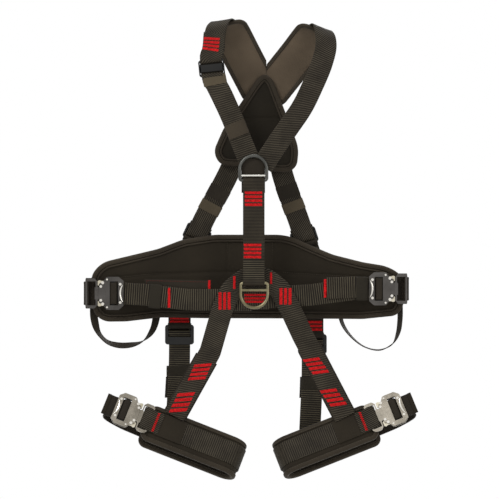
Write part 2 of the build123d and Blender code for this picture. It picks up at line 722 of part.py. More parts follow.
GEAR_LEFT = [
    (-346, -61, -385), (-345, -61, -425), (-330, -58, -463), (-297, -48, -480),
    (-248, -38, -472), (-221, -30, -440), (-215, -26, -400),
]  # fmt: skip
GEAR_RIGHT = [
    (297, -60, -385), (297, -59, -425), (290, -56, -462), (262, -46, -486),
    (228, -38, -481), (184, -28, -450), (169, -24, -400),
]  # fmt: skip
for side, run in (("left", GEAR_LEFT), ("right", GEAR_RIGHT)):
    ribbon = web(run, [(0.3, 1, 0) if side == "left" else (-0.3, 1, 0)] * len(run), 11, 3)
    write(ribbon, f"gear_loop_{side}")


ELASTIC_T = 1.2


def keeper(plane, width, depth, length):
    """An elastic band round doubled webbing."""
    across = Plane(origin=plane.origin, x_dir=plane.x_dir, z_dir=plane.y_dir)
    with BuildPart() as band:
        with BuildSketch(across):
            Rectangle(width + 2 * ELASTIC_T, depth + 2 * ELASTIC_T)
            Rectangle(width, depth, mode=Mode.SUBTRACT)
        extrude(amount=length / 2, both=True)
    return band.part


bands = [
    keeper(Plane(origin=(-216, BELLY_Y, -373.7), x_dir=(0.09, 0, 1), z_dir=(0, -1, 0)), 49, 5.4, 24),
    keeper(Plane(origin=(216, BELLY_Y, -358.6), x_dir=(0, 0, 1), z_dir=(0, -1, 0)), 48, 5.4, 24),
    keeper(face_plane(-91, -96.3, 71.5, 15), 54, 7.4, 18),
    keeper(face_plane(-169.5, -15.7, -534, 0), 51, 6.4, 24),
]
write(Compound(children=[b.solid() for b in bands]), "elastic_keepers")
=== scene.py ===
import math

import bmesh
import bpy
import numpy as np
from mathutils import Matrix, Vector


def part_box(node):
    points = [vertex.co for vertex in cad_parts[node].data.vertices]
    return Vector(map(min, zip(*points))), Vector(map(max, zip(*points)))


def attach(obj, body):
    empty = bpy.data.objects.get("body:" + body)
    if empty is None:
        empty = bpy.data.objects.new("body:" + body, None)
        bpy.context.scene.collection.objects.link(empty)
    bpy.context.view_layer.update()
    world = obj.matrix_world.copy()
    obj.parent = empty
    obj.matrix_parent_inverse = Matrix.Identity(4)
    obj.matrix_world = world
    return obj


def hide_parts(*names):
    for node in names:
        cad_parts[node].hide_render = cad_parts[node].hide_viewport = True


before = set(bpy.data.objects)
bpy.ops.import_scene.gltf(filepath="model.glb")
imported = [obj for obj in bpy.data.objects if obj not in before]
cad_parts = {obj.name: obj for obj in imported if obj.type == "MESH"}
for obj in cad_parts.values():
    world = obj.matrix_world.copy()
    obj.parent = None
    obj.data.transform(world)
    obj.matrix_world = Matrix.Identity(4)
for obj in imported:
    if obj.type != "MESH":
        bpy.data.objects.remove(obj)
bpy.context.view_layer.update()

# Full-body safety harness. Lengths in this script are millimetres in the CAD frame,
# and metres only where they are handed to Blender.
MM = 1000.0
WEB = 45.0
WEB_T = 2.4
FRONT = np.array((0, -1.0, 0))
rng = np.random.default_rng(7)


# ---- Camera and light ----

VIEW_MIDDLE = (-18.9, -60.0, -276.0)  # what the camera looks at
VIEW_WIDTH = 1048.0
CAMERA_AT = 6000.0
SENSOR = 36.0
LIGHT_AIM = Vector((0, 0, -0.27))
LIGHTS = {
    "key_light": ((-1.3, -1.9, 1.3), 0.9, 34),
    "fill_light": ((1.7, -1.9, 0.2), 1.2, 14),
    "top_light": ((0.1, 0.3, 1.7), 0.8, 12),
    "back_light": ((0.9, 1.9, 0.7), 1.2, 26),
}  # each one's place in metres, size and power


def add_object(name, data):
    obj = bpy.data.objects.new(name, data)
    bpy.context.scene.collection.objects.link(obj)
    return obj


def add_camera():
    data = bpy.data.cameras.new("camera")
    data.sensor_width = SENSOR
    data.lens = SENSOR * CAMERA_AT / VIEW_WIDTH
    data.clip_end = 100
    camera = add_object("camera", data)
    x, y, z = VIEW_MIDDLE
    camera.location = (x / MM, (y - CAMERA_AT) / MM, z / MM)
    camera.rotation_euler = (math.radians(90), 0, 0)
    bpy.context.scene.camera = camera


def add_studio():
    for name, (at, size, power) in LIGHTS.items():
        data = bpy.data.lights.new(name, "AREA")
        data.shape = "DISK"
        data.size = size
        data.energy = power
        light = add_object(name, data)
        light.location = at
        light.rotation_euler = (LIGHT_AIM - Vector(at)).to_track_quat("-Z", "Y").to_euler()
    world = bpy.data.worlds.new("studio")
    world.use_nodes = True
    back = world.node_tree.nodes["Background"]
    back.inputs["Color"].default_value = (1, 1, 1, 1)
    back.inputs["Strength"].default_value = 1.0
    bpy.context.scene.world = world
    bpy.context.scene.view_settings.view_transform = "Standard"


# ---- Materials ----


def linear(red, green, blue):
    """A colour given in 0 to 255 screen values, as the shader takes it."""
    return tuple((c / 255) ** 2.2 for c in (red, green, blue)) + (1,)


class Value:
    """A shader socket that takes plain arithmetic."""

    def __init__(self, tree, socket):
        self.tree = tree
        self.socket = socket

    def math(self, operation, other=0.0, swap=False):
        node = self.tree.nodes.new("ShaderNodeMath")
        node.operation = operation
        for socket, value in zip(node.inputs, (other, self) if swap else (self, other)):
            if isinstance(value, Value):
                self.tree.links.new(value.socket, socket)
            else:
                socket.default_value = value
        return Value(self.tree, node.outputs[0])

    def __add__(self, other):
        return self.math("ADD", other)

    def __sub__(self, other):
        return self.math("SUBTRACT", other)

    def __rsub__(self, other):
        return self.math("SUBTRACT", other, swap=True)

    def __mul__(self, other):
        return self.math("MULTIPLY", other)

    def wave(self, pitch):
        """A ridge from 0 to 1 that repeats every pitch millimetres."""
        return ((self * (2 * math.pi * MM / pitch)).math("SINE") + 1.0) * 0.5


class Paint:
    """A material under construction: a principled shader and small helpers for its nodes."""

    def __init__(self, name, roughness, metallic=0.0, sheen=0.0, specular=0.5):
        self.material = bpy.data.materials.new(name)
        self.material.use_nodes = True
        self.tree = self.material.node_tree
        self.shader = self.tree.nodes["Principled BSDF"]
        self.shader.inputs["Roughness"].default_value = roughness
        self.shader.inputs["Metallic"].default_value = metallic
        self.shader.inputs["Specular IOR Level"].default_value = specular
        self.shader.inputs["Sheen Weight"].default_value = sheen
        self.shader.inputs["Sheen Roughness"].default_value = 0.5

    def node(self, kind, inputs=(), output=0):
        """A new node's output, with its inputs set to constants or linked to other values."""
        node = self.tree.nodes.new(f"ShaderNode{kind}")
        for key, value in dict(inputs).items():
            if isinstance(value, Value):
                self.tree.links.new(value.socket, node.inputs[key])
            else:
                node.inputs[key].default_value = value
        return Value(self.tree, node.outputs[output])

    def split(self, value):
        """A place's x, y and z."""
        first = self.node("SeparateXYZ", {0: value})
        return [Value(self.tree, socket) for socket in first.socket.node.outputs]

    def cloth(self):
        """The place on the cloth in metres: across and along."""
        uv = self.node("UVMap")
        uv.socket.node.uv_map = "cloth"
        return self.split(uv)[:2]

    def noise(self, scale, detail=2.0, stretch=None):
        place = self.node("TexCoord", output="Object")
        if stretch:
            place = self.node("Mapping", {"Scale": stretch, 0: place})
        return self.node("TexNoise", {"Scale": scale, "Detail": detail, "Vector": place}, "Fac")

    def ramp(self, value, *stops):
        """A colour ramp through (position, screen colour) stops."""
        colour = self.node("ValToRGB", {0: value})
        band = colour.socket.node.color_ramp
        for element, (position, shade) in zip(band.elements, (stops[0], stops[-1])):
            element.position = position
            element.color = linear(*shade)
        for position, shade in stops[1:-1]:
            band.elements.new(position).color = linear(*shade)
        return colour

    def mix(self, share, first, second):
        node = self.tree.nodes.new("ShaderNodeMix")
        node.data_type = "RGBA"
        for key, value in (("Factor", share), (6, first), (7, second)):
            self.tree.links.new(value.socket, node.inputs[key])
        return Value(self.tree, node.outputs[2])

    def use(self, key, value):
        self.tree.links.new(value.socket, self.shader.inputs[key])

    def finish(self, colour, height, depth):
        """The material, with its colour and a relief as deep as given in millimetres."""
        self.use("Base Color", colour)
        relief = {"Distance": depth / MM, "Strength": 1.0, "Height": height}
        self.use("Normal", self.node("Bump", relief))
        return self.material


FABRIC_GLOSS = 0.12


def ridged(paint, body, worn, stops, depth):
    """Finishes webbing: a painted highlight on its ridges, lighter than their gaps, unevenly worn."""
    shade = body + (worn - 0.5) * 0.35
    return paint.finish(paint.ramp(shade, *stops), body, depth)


def twill(name, dark, light, lean=0.62):
    """Webbing whose ridges run across it on the slant."""
    paint = Paint(name, 0.62, specular=FABRIC_GLOSS)
    across, along = paint.cloth()
    ridge = (across * lean + along * 0.8).wave(3.7)
    warp = across.wave(1.5)
    pick = (along - across * 0.35).wave(1.9)
    body = ridge * 0.72 + warp * 0.16 + pick * 0.12
    return ridged(paint, body, paint.noise(34, 3), ((0.25, dark), (0.6, dark), (0.95, light)), 0.5)


def ribbed(name, dark, light, pitch=4.6, depth=0.6):
    """Webbing with straight ribs across it."""
    paint = Paint(name, 0.6, specular=FABRIC_GLOSS)
    across, along = paint.cloth()
    body = along.wave(pitch) * 0.85 + across.wave(1.4) * 0.15
    return ridged(paint, body, paint.noise(30, 3), ((0.3, dark), (0.62, dark), (0.96, light)), depth)


def woven(name, dark, light, roughness=0.8, pitch=1.3, depth=0.16):
    """Plain close cloth: pad covers, binding tape, elastic."""
    paint = Paint(name, roughness, sheen=0.02, specular=FABRIC_GLOSS)
    across, along = paint.cloth()
    weave = across.wave(pitch) * along.wave(pitch)
    fluff = paint.noise(900, 2)
    shade = paint.noise(11, 4) * 0.7 + weave * 0.2 + fluff * 0.15
    return paint.finish(paint.ramp(shade, (0.25, dark), (0.8, light)), weave + fluff * 0.5, depth)


def mesh_cloth(name, dark, light):
    """Open spacer mesh: small round holes in staggered rows."""
    paint = Paint(name, 0.85, sheen=0.08, specular=FABRIC_GLOSS)
    across, along = paint.cloth()
    holes = (across + along * 0.58).wave(2.6) * (across - along * 0.58).wave(2.6)
    shade = paint.noise(14, 3) * 0.5 + holes * -0.45 + 0.3
    return paint.finish(paint.ramp(shade, (0.1, dark), (0.65, light)), holes, 0.5)


def thread(name, dark, light):
    paint = Paint(name, 0.55, specular=0.2)
    colour = paint.ramp(paint.noise(420, 2), (0.3, dark), (0.7, light))
    return paint.finish(colour, paint.noise(2500, 1), 0.1)


# Colours of the painted highlight across a ring's bar.
BAR_HIGHLIGHT = (196, 194, 186), (232, 230, 222)


def metal(name, dark, light, low, high, grain, metallic=1.0, bright=None):
    """Metal with a fine blasted or brushed grain; an optional (low, high) share of its height gets a painted
    highlight: a lighter colour, with lower roughness.
    """
    paint = Paint(name, low, metallic=metallic, specular=0.5 if metallic > 0.5 else 0.28)
    fine = paint.noise(700, 3)
    spread = paint.noise(120, 2, stretch=(1.0, 1.0, 14.0)) * 0.6 + fine * 0.4
    colour = paint.ramp(paint.noise(26, 4) * 0.6 + fine * 0.4, (0.3, dark), (0.7, light))
    # Painted highlight: a band across the ring's bar takes a lighter colour and lower roughness.
    if bright:
        x, _, z = paint.split(paint.node("TexCoord", output="Generated"))
        inside = (x - 0.5).math("ABSOLUTE").math("LESS_THAN", 0.395)
        share = inside * (z.math("GREATER_THAN", bright[0]) * z.math("LESS_THAN", bright[1]))
        colour = paint.mix(share, colour, paint.ramp(fine, (0.3, BAR_HIGHLIGHT[0]), (0.7, BAR_HIGHLIGHT[1])))
        spread = spread * (1.0 - share)
    paint.use("Roughness", spread * (high - low) + low)
    return paint.finish(colour, fine, grain)


def floor_paint():
    paint = Paint("floor_paint", 0.8)
    colour = paint.ramp(paint.noise(3, 3), (0.3, (226, 226, 224)), (0.7, (234, 234, 232)))
    return paint.finish(colour, paint.noise(400, 2), 0.1)


# Each webbing look's lighter colour is a painted highlight on the tops of its ridges.
SOFT_DARK, RIDGE_HIGHLIGHT = (25, 21, 16), (78, 72, 60)
looks = {
    "twill": twill("webbing_twill", SOFT_DARK, RIDGE_HIGHLIGHT),
    "twill_back": twill("webbing_twill_other_way", SOFT_DARK, RIDGE_HIGHLIGHT, lean=-0.62),
    "ribbed": ribbed("webbing_ribbed", SOFT_DARK, (78, 72, 58)),
    "fine_ribs": ribbed("webbing_fine_ribs", (26, 22, 17), (64, 58, 47), 3.0, 0.4),
    "smooth": woven("webbing_smooth", (30, 26, 21), (44, 39, 31), 0.65, 1.1, 0.2),
    "hem": woven("folded_hem", (42, 36, 29), (62, 55, 44), 0.6, 1.1, 0.2),
    "light_band": woven("folded_band", (58, 51, 40), (78, 70, 56), 0.6, 1.1, 0.2),
    "pad": woven("pad_cloth", (31, 27, 21), (44, 39, 31)),
    "panel": woven("panel_cloth", (24, 21, 16), (37, 33, 26)),
    "binding": woven("binding_tape", (36, 31, 25), (56, 50, 41), 0.7, 1.6, 0.25),
    "lining": mesh_cloth("mesh_lining", (48, 41, 33), (88, 77, 64)),
    "elastic": ribbed("elastic_band", (30, 27, 21), (48, 43, 34), 1.6, 0.25),
    "red": thread("red_thread", (128, 8, 12), (196, 22, 26)),
    "red_base": thread("red_thread_base", (80, 8, 10), (108, 14, 16)),
    "black_thread": thread("black_thread", (42, 38, 31), (66, 61, 51)),
    "black_frame": metal("black_frame", (13, 13, 12), (28, 27, 25), 0.3, 0.46, 0.05, 0.1),
    "black_plastic": metal("black_moulding", (16, 16, 15), (30, 29, 27), 0.3, 0.46, 0.08, 0.0),
    "gunmetal": metal("gunmetal_plate", (62, 60, 58), (96, 93, 90), 0.3, 0.46, 0.06),
    "champagne": metal("champagne_plate", (92, 87, 78), (168, 161, 148), 0.26, 0.42, 0.05),
    # The sternal and dorsal rings carry a painted highlight band across their bar.
    "dark_ring": metal("dark_ring_steel", (60, 60, 58), (92, 92, 88), 0.3, 0.45, 0.05, bright=(0.18, 0.275)),
    "olive_ring": metal("olive_plated_steel", (86, 80, 60), (138, 131, 106), 0.28, 0.42, 0.05),
    "polished": metal("polished_steel", (200, 196, 186), (234, 230, 222), 0.12, 0.24, 0.01),
    "lever": metal("lever_steel", (172, 164, 142), (214, 207, 188), 0.2, 0.34, 0.02),
    "dark_bar": metal("slide_bar_steel", (30, 30, 30), (52, 52, 52), 0.3, 0.42, 0.03),
    "floor": floor_paint(),
}


# ---- Meshes ----


def unit(vectors):
    vectors = np.asarray(vectors, float)
    return vectors / np.linalg.norm(vectors, axis=-1, keepdims=True)


def middle(node):
    """The middle of a CAD node's box."""
    low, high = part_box(node)
    return (np.array(low) + np.array(high)) / 2 * MM


def lay_cloth(mesh, cloth):
    """Gives each point its place on the material, in millimetres."""
    layer = mesh.uv_layers.new(name="cloth")
    corner = np.zeros(len(mesh.loops), np.int32)
    mesh.loops.foreach_get("vertex_index", corner)
    layer.data.foreach_set("uv", (np.asarray(cloth, float) / MM)[corner].ravel())


def face_outwards(mesh):
    work = bmesh.new()
    work.from_mesh(mesh)
    bmesh.ops.recalc_face_normals(work, faces=work.faces)
    work.to_mesh(mesh)
    work.free()
    mesh.polygons.foreach_set("use_smooth", [True] * len(mesh.polygons))


def make(name, points, faces, look, cloth=None):
    mesh = bpy.data.meshes.new(name)
    mesh.from_pydata((np.asarray(points, float) / MM).tolist(), [], faces)
    if cloth is not None:
        lay_cloth(mesh, cloth)
    face_outwards(mesh)
    mesh.set_sharp_from_angle(angle=math.radians(50))
    mesh.materials.append(looks[look])
    return add_object(name, mesh)


def settle(obj, slot, *nodes):
    """Fixes a finished piece to the harness and hides the CAD nodes that it stands for."""
    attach(obj, "root")
    if nodes:
        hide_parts(*nodes)
    return obj


def travelled(line):
    """How far along a line each of its points is."""
    return np.concatenate([[0], np.cumsum(np.linalg.norm(np.diff(line, axis=0), axis=1))])


def skin(rows, count, ring=False):
    """Faces of a tube: rows of count points each, with closed ends or joined into a ring."""
    faces = []
    for row in range(rows if ring else rows - 1):
        here, there = row * count, (row + 1) % rows * count
        for k in range(count):
            after = (k + 1) % count
            faces.append((here + k, here + after, there + after, there + k))
    if not ring:
        faces += [tuple(range(count)), tuple((rows - 1) * count + k for k in range(count))]
    return faces


def through(rows, step):
    """A smooth line through rows of numbers whose first three are a place."""
    rows = np.asarray(rows, float)
    gaps = np.linalg.norm(np.diff(rows[:, :3], axis=0), axis=1)
    slopes = np.diff(rows, axis=0) / gaps[:, None]
    share = (gaps[:-1] / (gaps[:-1] + gaps[1:]))[:, None]
    tangents = np.vstack([slopes[:1], slopes[:-1] * (1 - share) + slopes[1:] * share, slopes[-1:]])
    pieces = [rows[:1]]
    for i, gap in enumerate(gaps):
        count = max(2, round(gap / step))
        t = (np.arange(1, count + 1) / count)[:, None]
        pieces.append(
            (2 * t**3 - 3 * t**2 + 1) * rows[i]
            + (t**3 - 2 * t**2 + t) * gap * tangents[i]
            + (3 * t**2 - 2 * t**3) * rows[i + 1]
            + (t**3 - t**2) * gap * tangents[i + 1]
        )
    return np.vstack(pieces)


def rounded(corners, radius, step=4.0, closed=True):
    """A flat outline or path with its corners turned into arcs, as close points."""
    corners = np.asarray(corners, float)
    count = len(corners)
    out = []
    for i, corner in enumerate(corners):
        before, after = corners[i - 1], corners[(i + 1) % count]
        come, go = unit(corner - before), unit(after - corner)
        turn = math.acos(max(-1.0, min(1.0, float(come @ go))))
        if turn < 0.02 or (not closed and i in (0, count - 1)):
            out.append(corner)
            continue
        shorter = min(np.linalg.norm(corner - before), np.linalg.norm(after - corner))
        reach = min(radius * math.tan(turn / 2), 0.48 * shorter)
        side = math.copysign(1, come[0] * go[1] - come[1] * go[0])
        r = reach / math.tan(turn / 2)
        start = corner - come * reach
        centre = start + np.array((-come[1], come[0])) * side * r
        x, y = start - centre
        parts = max(2, math.ceil(r * turn / step))
        for a in side * turn * np.arange(parts + 1) / parts:
            cos, sin = math.cos(a), math.sin(a)
            out.append(centre + np.array((x * cos - y * sin, x * sin + y * cos)))
    ends = np.array([*out, out[0]] if closed else out)
    dense = [ends[:1]]
    for a, b in zip(ends[:-1], ends[1:]):
        parts = max(1, math.ceil(np.linalg.norm(b - a) / step))
        dense.append(a + (b - a) * (np.arange(1, parts + 1) / parts)[:, None])
    dense = np.vstack(dense)
    return dense[:-1] if closed else dense


class Route:
    """A line through space with a width direction: webbing, and what is sewn to it, lies on it."""

    def __init__(self, rows):
        self.line = rows[:, :3]
        self.along = unit(np.gradient(self.line, axis=0))
        across = rows[:, 3:6]
        across = across - (across * self.along).sum(1)[:, None] * self.along
        self.across = unit(across)
        self.face = np.cross(self.along, self.across)
        self.travel = travelled(self.line)
        self.length = self.travel[-1]

    def place(self, a, b, c):
        """Points at a across, b along and c off the face."""
        a, b, c = np.broadcast_arrays(np.asarray(a, float), b, c)

        def blend(values):
            return np.stack([np.interp(b, self.travel, values[:, k]) for k in range(3)], -1)

        beyond = (b - np.clip(b, 0, self.length))[..., None]
        return (
            blend(self.line)
            + blend(self.across) * a[..., None]
            + blend(self.face) * c[..., None]
            + blend(self.along) * beyond
        )

    def nearest(self, values, target, keep=True):
        """The distance along at which one of the line's kept values is nearest to a target."""
        return self.travel[np.argmin(np.where(keep, abs(values - target), np.inf))]

    def at_z(self, z, keep=True):
        return self.nearest(self.line[:, 2], z, keep)

    def front(self, row=None):
        """1 or -1: the side of the route that faces the front, at a row or halfway along."""
        row = len(self.face) // 2 if row is None else row
        return 1 if self.face[row][1] < 0 else -1


def stations(points, across):
    """Rows of place and width direction; one direction may serve all the points."""
    return np.hstack([np.asarray(points, float), np.broadcast_to(across, (len(points), 3))])


def route_of(points, across, step):
    return Route(through(stations(points, across), step))


def flat_route(corners, y, radius=5):
    """A route in an upright plane that faces the front, through (x, z) corners."""
    path = rounded(corners, radius, closed=False)
    way = unit(np.gradient(path, axis=0))
    rows = [(x, y, z, -dz, 0, dx) for (x, z), (dx, dz) in zip(path, way)]
    return Route(np.array(rows))


def points_at(spot, path):
    """Places of an (s, n) path in a spot's own axes."""
    origin, s, _, n = spot
    return [origin + s * a + n * b for a, b in path]


def turn_route(spot, path, step):
    """A route through an (s, n) path in a spot's own axes, such as webbing that turns about a bar."""
    return route_of(points_at(spot, path), spot[2], step)


def web_section(width, thick):
    """Half-thick rounded selvedges, a little fuller than the middle."""
    half = thick / 2
    cap = width / 2 - half
    flat = np.linspace(-cap, cap, 11)
    swell = 1 + 0.14 * np.exp(-(((cap - abs(flat)) / 1.6) ** 2))
    top = [(a, half * k) for a, k in zip(flat, swell)]
    right = [(cap + half * math.cos(t), half * math.sin(t)) for t in np.radians((55, 20, -20, -55))]
    return np.array(top + right + [(a, -c) for a, c in top[::-1]] + [(-a, -c) for a, c in right])


def webbing(
    name, route, look, slot="webbing", nodes=(), width=WEB, thick=WEB_T, start=0, end=None, shift=0, lift=0
):
    """Webbing, or a band on it, along a route from start to end, shifted across and lifted off."""
    section = web_section(width, thick) + np.array((shift, lift))
    end = route.length if end is None else end
    inside = route.travel[(route.travel > start + 0.3) & (route.travel < end - 0.3)]
    marks = np.concatenate([[start], inside, [end]])
    rows, count = len(marks), len(section)
    a = np.tile(section[:, 0], rows)
    b = np.repeat(marks, count)
    points = route.place(a, b, np.tile(section[:, 1], rows))
    return settle(make(name, points, skin(rows, count), look, np.stack([a, b], -1)), slot, *nodes)


# ---- Stitching ----

STITCH, STITCH_GAP = 3.2, 1.5
SATIN_PITCH = 0.95
SATIN_FILL = 0.72  # share of a bartack's pitch that a row covers


def capsules(name, starts, ends, up, width, height, look, slot="webbing"):
    """Many short threads: each a flattened spindle from its start to its end."""
    up = unit(np.broadcast_to(up, starts.shape))
    reach = ends - starts
    side = unit(np.cross(unit(reach), up))
    rings = [
        starts + reach * share + side * (x * width / 2) + up * (y * height)
        for share in (0.12, 0.88)
        for x, y in ((1, 0), (0, 1), (-1, 0), (0, -0.4))
    ]
    points = np.stack([starts, ends, *rings], 1).reshape(-1, 3)
    pattern = []
    for k in range(4):
        k2 = (k + 1) % 4
        pattern += [(0, 2 + k, 2 + k2), (2 + k, 6 + k, 6 + k2, 2 + k2), (1, 6 + k2, 6 + k)]
    faces = [tuple(10 * i + v for v in face) for i in range(len(starts)) for face in pattern]
    return settle(make(name, points, faces, look), slot)


def stitch_line(name, place, path, height, look="black_thread", slot="webbing", width=0.9):
    """Even running stitches along a path of (a, b) places on a piece."""
    path = np.asarray(path, float)
    travel = travelled(path)
    begin = np.arange(0, travel[-1] - STITCH, STITCH + STITCH_GAP)

    def at(distance):
        a, b = (np.interp(distance, travel, path[:, k]) for k in (0, 1))
        return place(a, b, height)

    first = path[:1].T
    lift = place(*first, height + 1) - place(*first, height)
    return capsules(name, at(begin), at(begin + STITCH), lift, width, 0.45, look, slot)


def bartack(name, place, centre, size, rows, turn=0.0, side=1, face=WEB_T / 2, standing=False, skew=0.0):
    """Rows of close satin stitches in red thread, with the ground they cover."""
    width, height = size
    pitch = (width if standing else height) / rows
    row_h = pitch * SATIN_FILL
    span = height if standing else width
    cos, sin = math.cos(math.radians(turn)), math.sin(math.radians(turn))

    def spot(places, lift):
        x, y = np.asarray(places, float).reshape(-1, 2).T
        if standing:
            x, y = y, x
        x = x + skew * y
        return place(centre[0] + x * cos - y * sin, centre[1] + x * sin + y * cos, side * (face + lift))

    starts, ends, ground = [], [], []
    for row in range(rows):
        y = (row - (rows - 1) / 2) * pitch
        for x in np.arange(-span / 2, span / 2, SATIN_PITCH):
            wobble = rng.uniform(-0.25, 0.25, 2)
            starts.append((x, y - row_h / 2 + wobble[0]))
            ends.append((x + 0.55, y + row_h / 2 + wobble[1]))
        corners = [(i * span / 2, y + j * row_h * 0.46) for i, j in ((-1, -1), (1, -1), (1, 1), (-1, 1))]
        ground += [spot(corners, -0.4), spot(corners, 0.35)]
    up = spot((0, 0), 1.0) - spot((0, 0), 0.0)
    capsules(name, spot(starts, 0.45), spot(ends, 0.45), up, 1.15, 0.5, "red")
    block = [(0, 1, 2, 3), (4, 5, 6, 7), (0, 1, 5, 4), (1, 2, 6, 5), (2, 3, 7, 6), (3, 0, 4, 7)]
    faces = [tuple(8 * row + v for v in side_) for row in range(rows) for side_ in block]
    settle(make(f"{name}_ground", np.concatenate(ground), faces, "red_base"), "webbing")


# ---- Pads ----

VOXEL = 5.0
SEWN_EDGE = 4.5
PRESSURE = 4.0


def coordinates(mesh):
    flat = np.zeros(len(mesh.vertices) * 3)
    mesh.vertices.foreach_get("co", flat)
    return flat.reshape(-1, 3) * MM


def move_to(mesh, points):
    mesh.vertices.foreach_set("co", (points / MM).ravel())


def apply_modifiers(obj):
    """The object's mesh as its modifiers leave it, which are then taken off."""
    graph = bpy.context.evaluated_depsgraph_get()
    mesh = bpy.data.meshes.new_from_object(obj.evaluated_get(graph))
    obj.modifiers.clear()
    return mesh


def distance_to(points, path, closed):
    """How far each flat point is from a path."""
    ends = np.vstack([path, path[:1]]) if closed else np.asarray(path, float)
    best = np.full(len(points), np.inf)
    for a, b in zip(ends[:-1], ends[1:]):
        way = b - a
        share = np.clip(((points - a) @ way) / max(way @ way, 1e-9), 0, 1)
        best = np.minimum(best, np.linalg.norm(points - a - share[:, None] * way, axis=1))
    return best


def blow_up(obj, border):
    """Runs the cloth simulation with the sewn edge held, and returns where the points end."""
    sewn = obj.vertex_groups.new(name="sewn")
    sewn.add(np.nonzero(border < SEWN_EDGE)[0].tolist(), 1.0, "ADD")
    cloth = obj.modifiers.new("cloth", "CLOTH")
    cloth.settings.vertex_group_mass = "sewn"
    cloth.settings.use_pressure = True
    cloth.settings.uniform_pressure_force = PRESSURE
    cloth.settings.effector_weights.gravity = 0
    cloth.settings.quality = 5
    cloth.settings.bending_stiffness = 1.5
    scene = bpy.context.scene
    for step in range(1, 21):
        scene.frame_set(step)
    after = coordinates(apply_modifiers(obj))
    scene.frame_set(1)
    return after


def stuffed(name, ring, thick, place, look, slot, node, cap, seams=(), back_cap=None):
    """A pad blown up between its sewn edges by a cloth simulation, then laid in place."""
    count = len(ring)
    points = np.vstack([np.c_[ring, np.full(count, c)] for c in (-thick / 2, thick / 2)])
    walls = [(i, (i + 1) % count, count + (i + 1) % count, count + i) for i in range(count)]
    faces = [tuple(range(count)), tuple(range(count, 2 * count)), *walls]
    obj = make(name, points, faces, look)
    remesh = obj.modifiers.new("remesh", "REMESH")
    remesh.mode = "VOXEL"
    remesh.voxel_size = VOXEL / MM
    obj.data = apply_modifiers(obj)
    before = coordinates(obj.data)
    border = distance_to(before[:, :2], ring, True)
    move = blow_up(obj, border) - before
    reach = np.linalg.norm(move, axis=1, keepdims=True)
    most = np.where(before[:, 2:] < 0, cap if back_cap is None else back_cap, cap)
    move_to(obj.data, before + move * np.minimum(1, most / np.maximum(reach, 1e-9)))
    obj.modifiers.new("subdivision", "SUBSURF").levels = 1
    obj.data = apply_modifiers(obj)
    final = coordinates(obj.data)
    for path, depth, spread in seams:
        near = distance_to(final[:, :2], np.asarray(path, float), False)
        groove = depth * np.exp(-((near / spread) ** 2))
        final[:, 2] -= np.sign(final[:, 2]) * np.minimum(groove, abs(final[:, 2]) * 0.8)
    lay_cloth(obj.data, final[:, :2])
    move_to(obj.data, place(*final.T))
    face_outwards(obj.data)
    settle(obj, slot, node)


def inward_of(ring):
    """Unit steps from a closed outline's points into it."""
    ahead, behind = np.roll(ring, -1, axis=0), np.roll(ring, 1, axis=0)
    way = unit(ahead - behind)
    area = (ring[:, 0] * ahead[:, 1] - ahead[:, 0] * ring[:, 1]).sum()
    return np.stack([-way[:, 1], way[:, 0]], -1) * math.copysign(1, area)


def edging(name, ring, section, place):
    """A closed (inset, depth) section of binding tape carried round a pad's outline."""
    rows, count = len(ring), len(section)
    flat = ring[:, None, :] + inward_of(ring)[:, None, :] * section[None, :, :1]
    points = place(flat[..., 0].ravel(), flat[..., 1].ravel(), np.tile(section[:, 1], rows))
    cloth = np.stack([np.tile(section[:, 0], rows), np.repeat(travelled(ring), count)], -1)
    return settle(make(name, points, skin(rows, count, ring=True), "binding", cloth), "pad_fabric")


def bind(name, ring, half, place, width):
    """Binding tape round a pad's whole edge, with its row of stitches on both faces."""
    side = [(-1.4, 0.45 * half), (-0.6, 0.85 * half), (0.9, half + 0.9), (3.2, half + 1.5)]
    side += [(width - 1.0, half + 1.4), (width, half + 0.5)]
    edging(name, ring, np.array(side + [(a, -c) for a, c in side[::-1]]), place)
    sewn = ring + inward_of(ring) * (width - 2.2)
    sewn = np.vstack([sewn, sewn[:1]])
    for label, way in (("front", 1), ("back", -1)):
        stitch_line(f"{name}_stitches_{label}", place, sewn, way * (half + 1.55), slot="pad_fabric")


def piping(name, ring, inset, height, place, radius=1.9):
    """A cord under cloth that follows a pad's outline on its front."""
    turns = np.linspace(0, 2 * math.pi, 9)[:-1]
    section = np.stack([inset + radius * np.cos(turns), height + radius * np.sin(turns)], -1)
    edging(name, ring, section, place)


def sheet(depth):
    """Lays a flat pad upright, facing the front, at a y that may vary across it."""

    def place(a, b, c):
        a, b, c = np.broadcast_arrays(np.asarray(a, float), b, c)
        return np.stack([a, depth(a) - c, b], -1)

    return place


def upright(y):
    return sheet(lambda a: y)


add_camera()
add_studio()

# ---- Back pad ----

FREE_CORNER = 120.0  # rounds an outline's corners as far as its sides allow
BACK_RING = rounded(
    [
        (-41, 25), (-3, 82), (13, 95), (29, 82), (51, 25), (84, -62), (80, -99), (64, -112), (29, -110),
        (-8, -96), (-46, -99), (-80, -97), (-94, -70), (-72, -20),
    ],
    FREE_CORNER,
)
back_place = upright(-29.0)
back_seams = [([(-38, 2), (50, 2)], 2.0, 2.6)]
stuffed("back_pad_cushion", BACK_RING, 7.5, back_place, "panel", "pad_fabric", "back_pad", 5, back_seams)
bind("back_pad_binding", BACK_RING, 4.2, back_place, 9)
piping("back_pad_piping", BACK_RING, 11.5, 5.6, back_place)

# ---- Shoulder straps and their padded linings ----

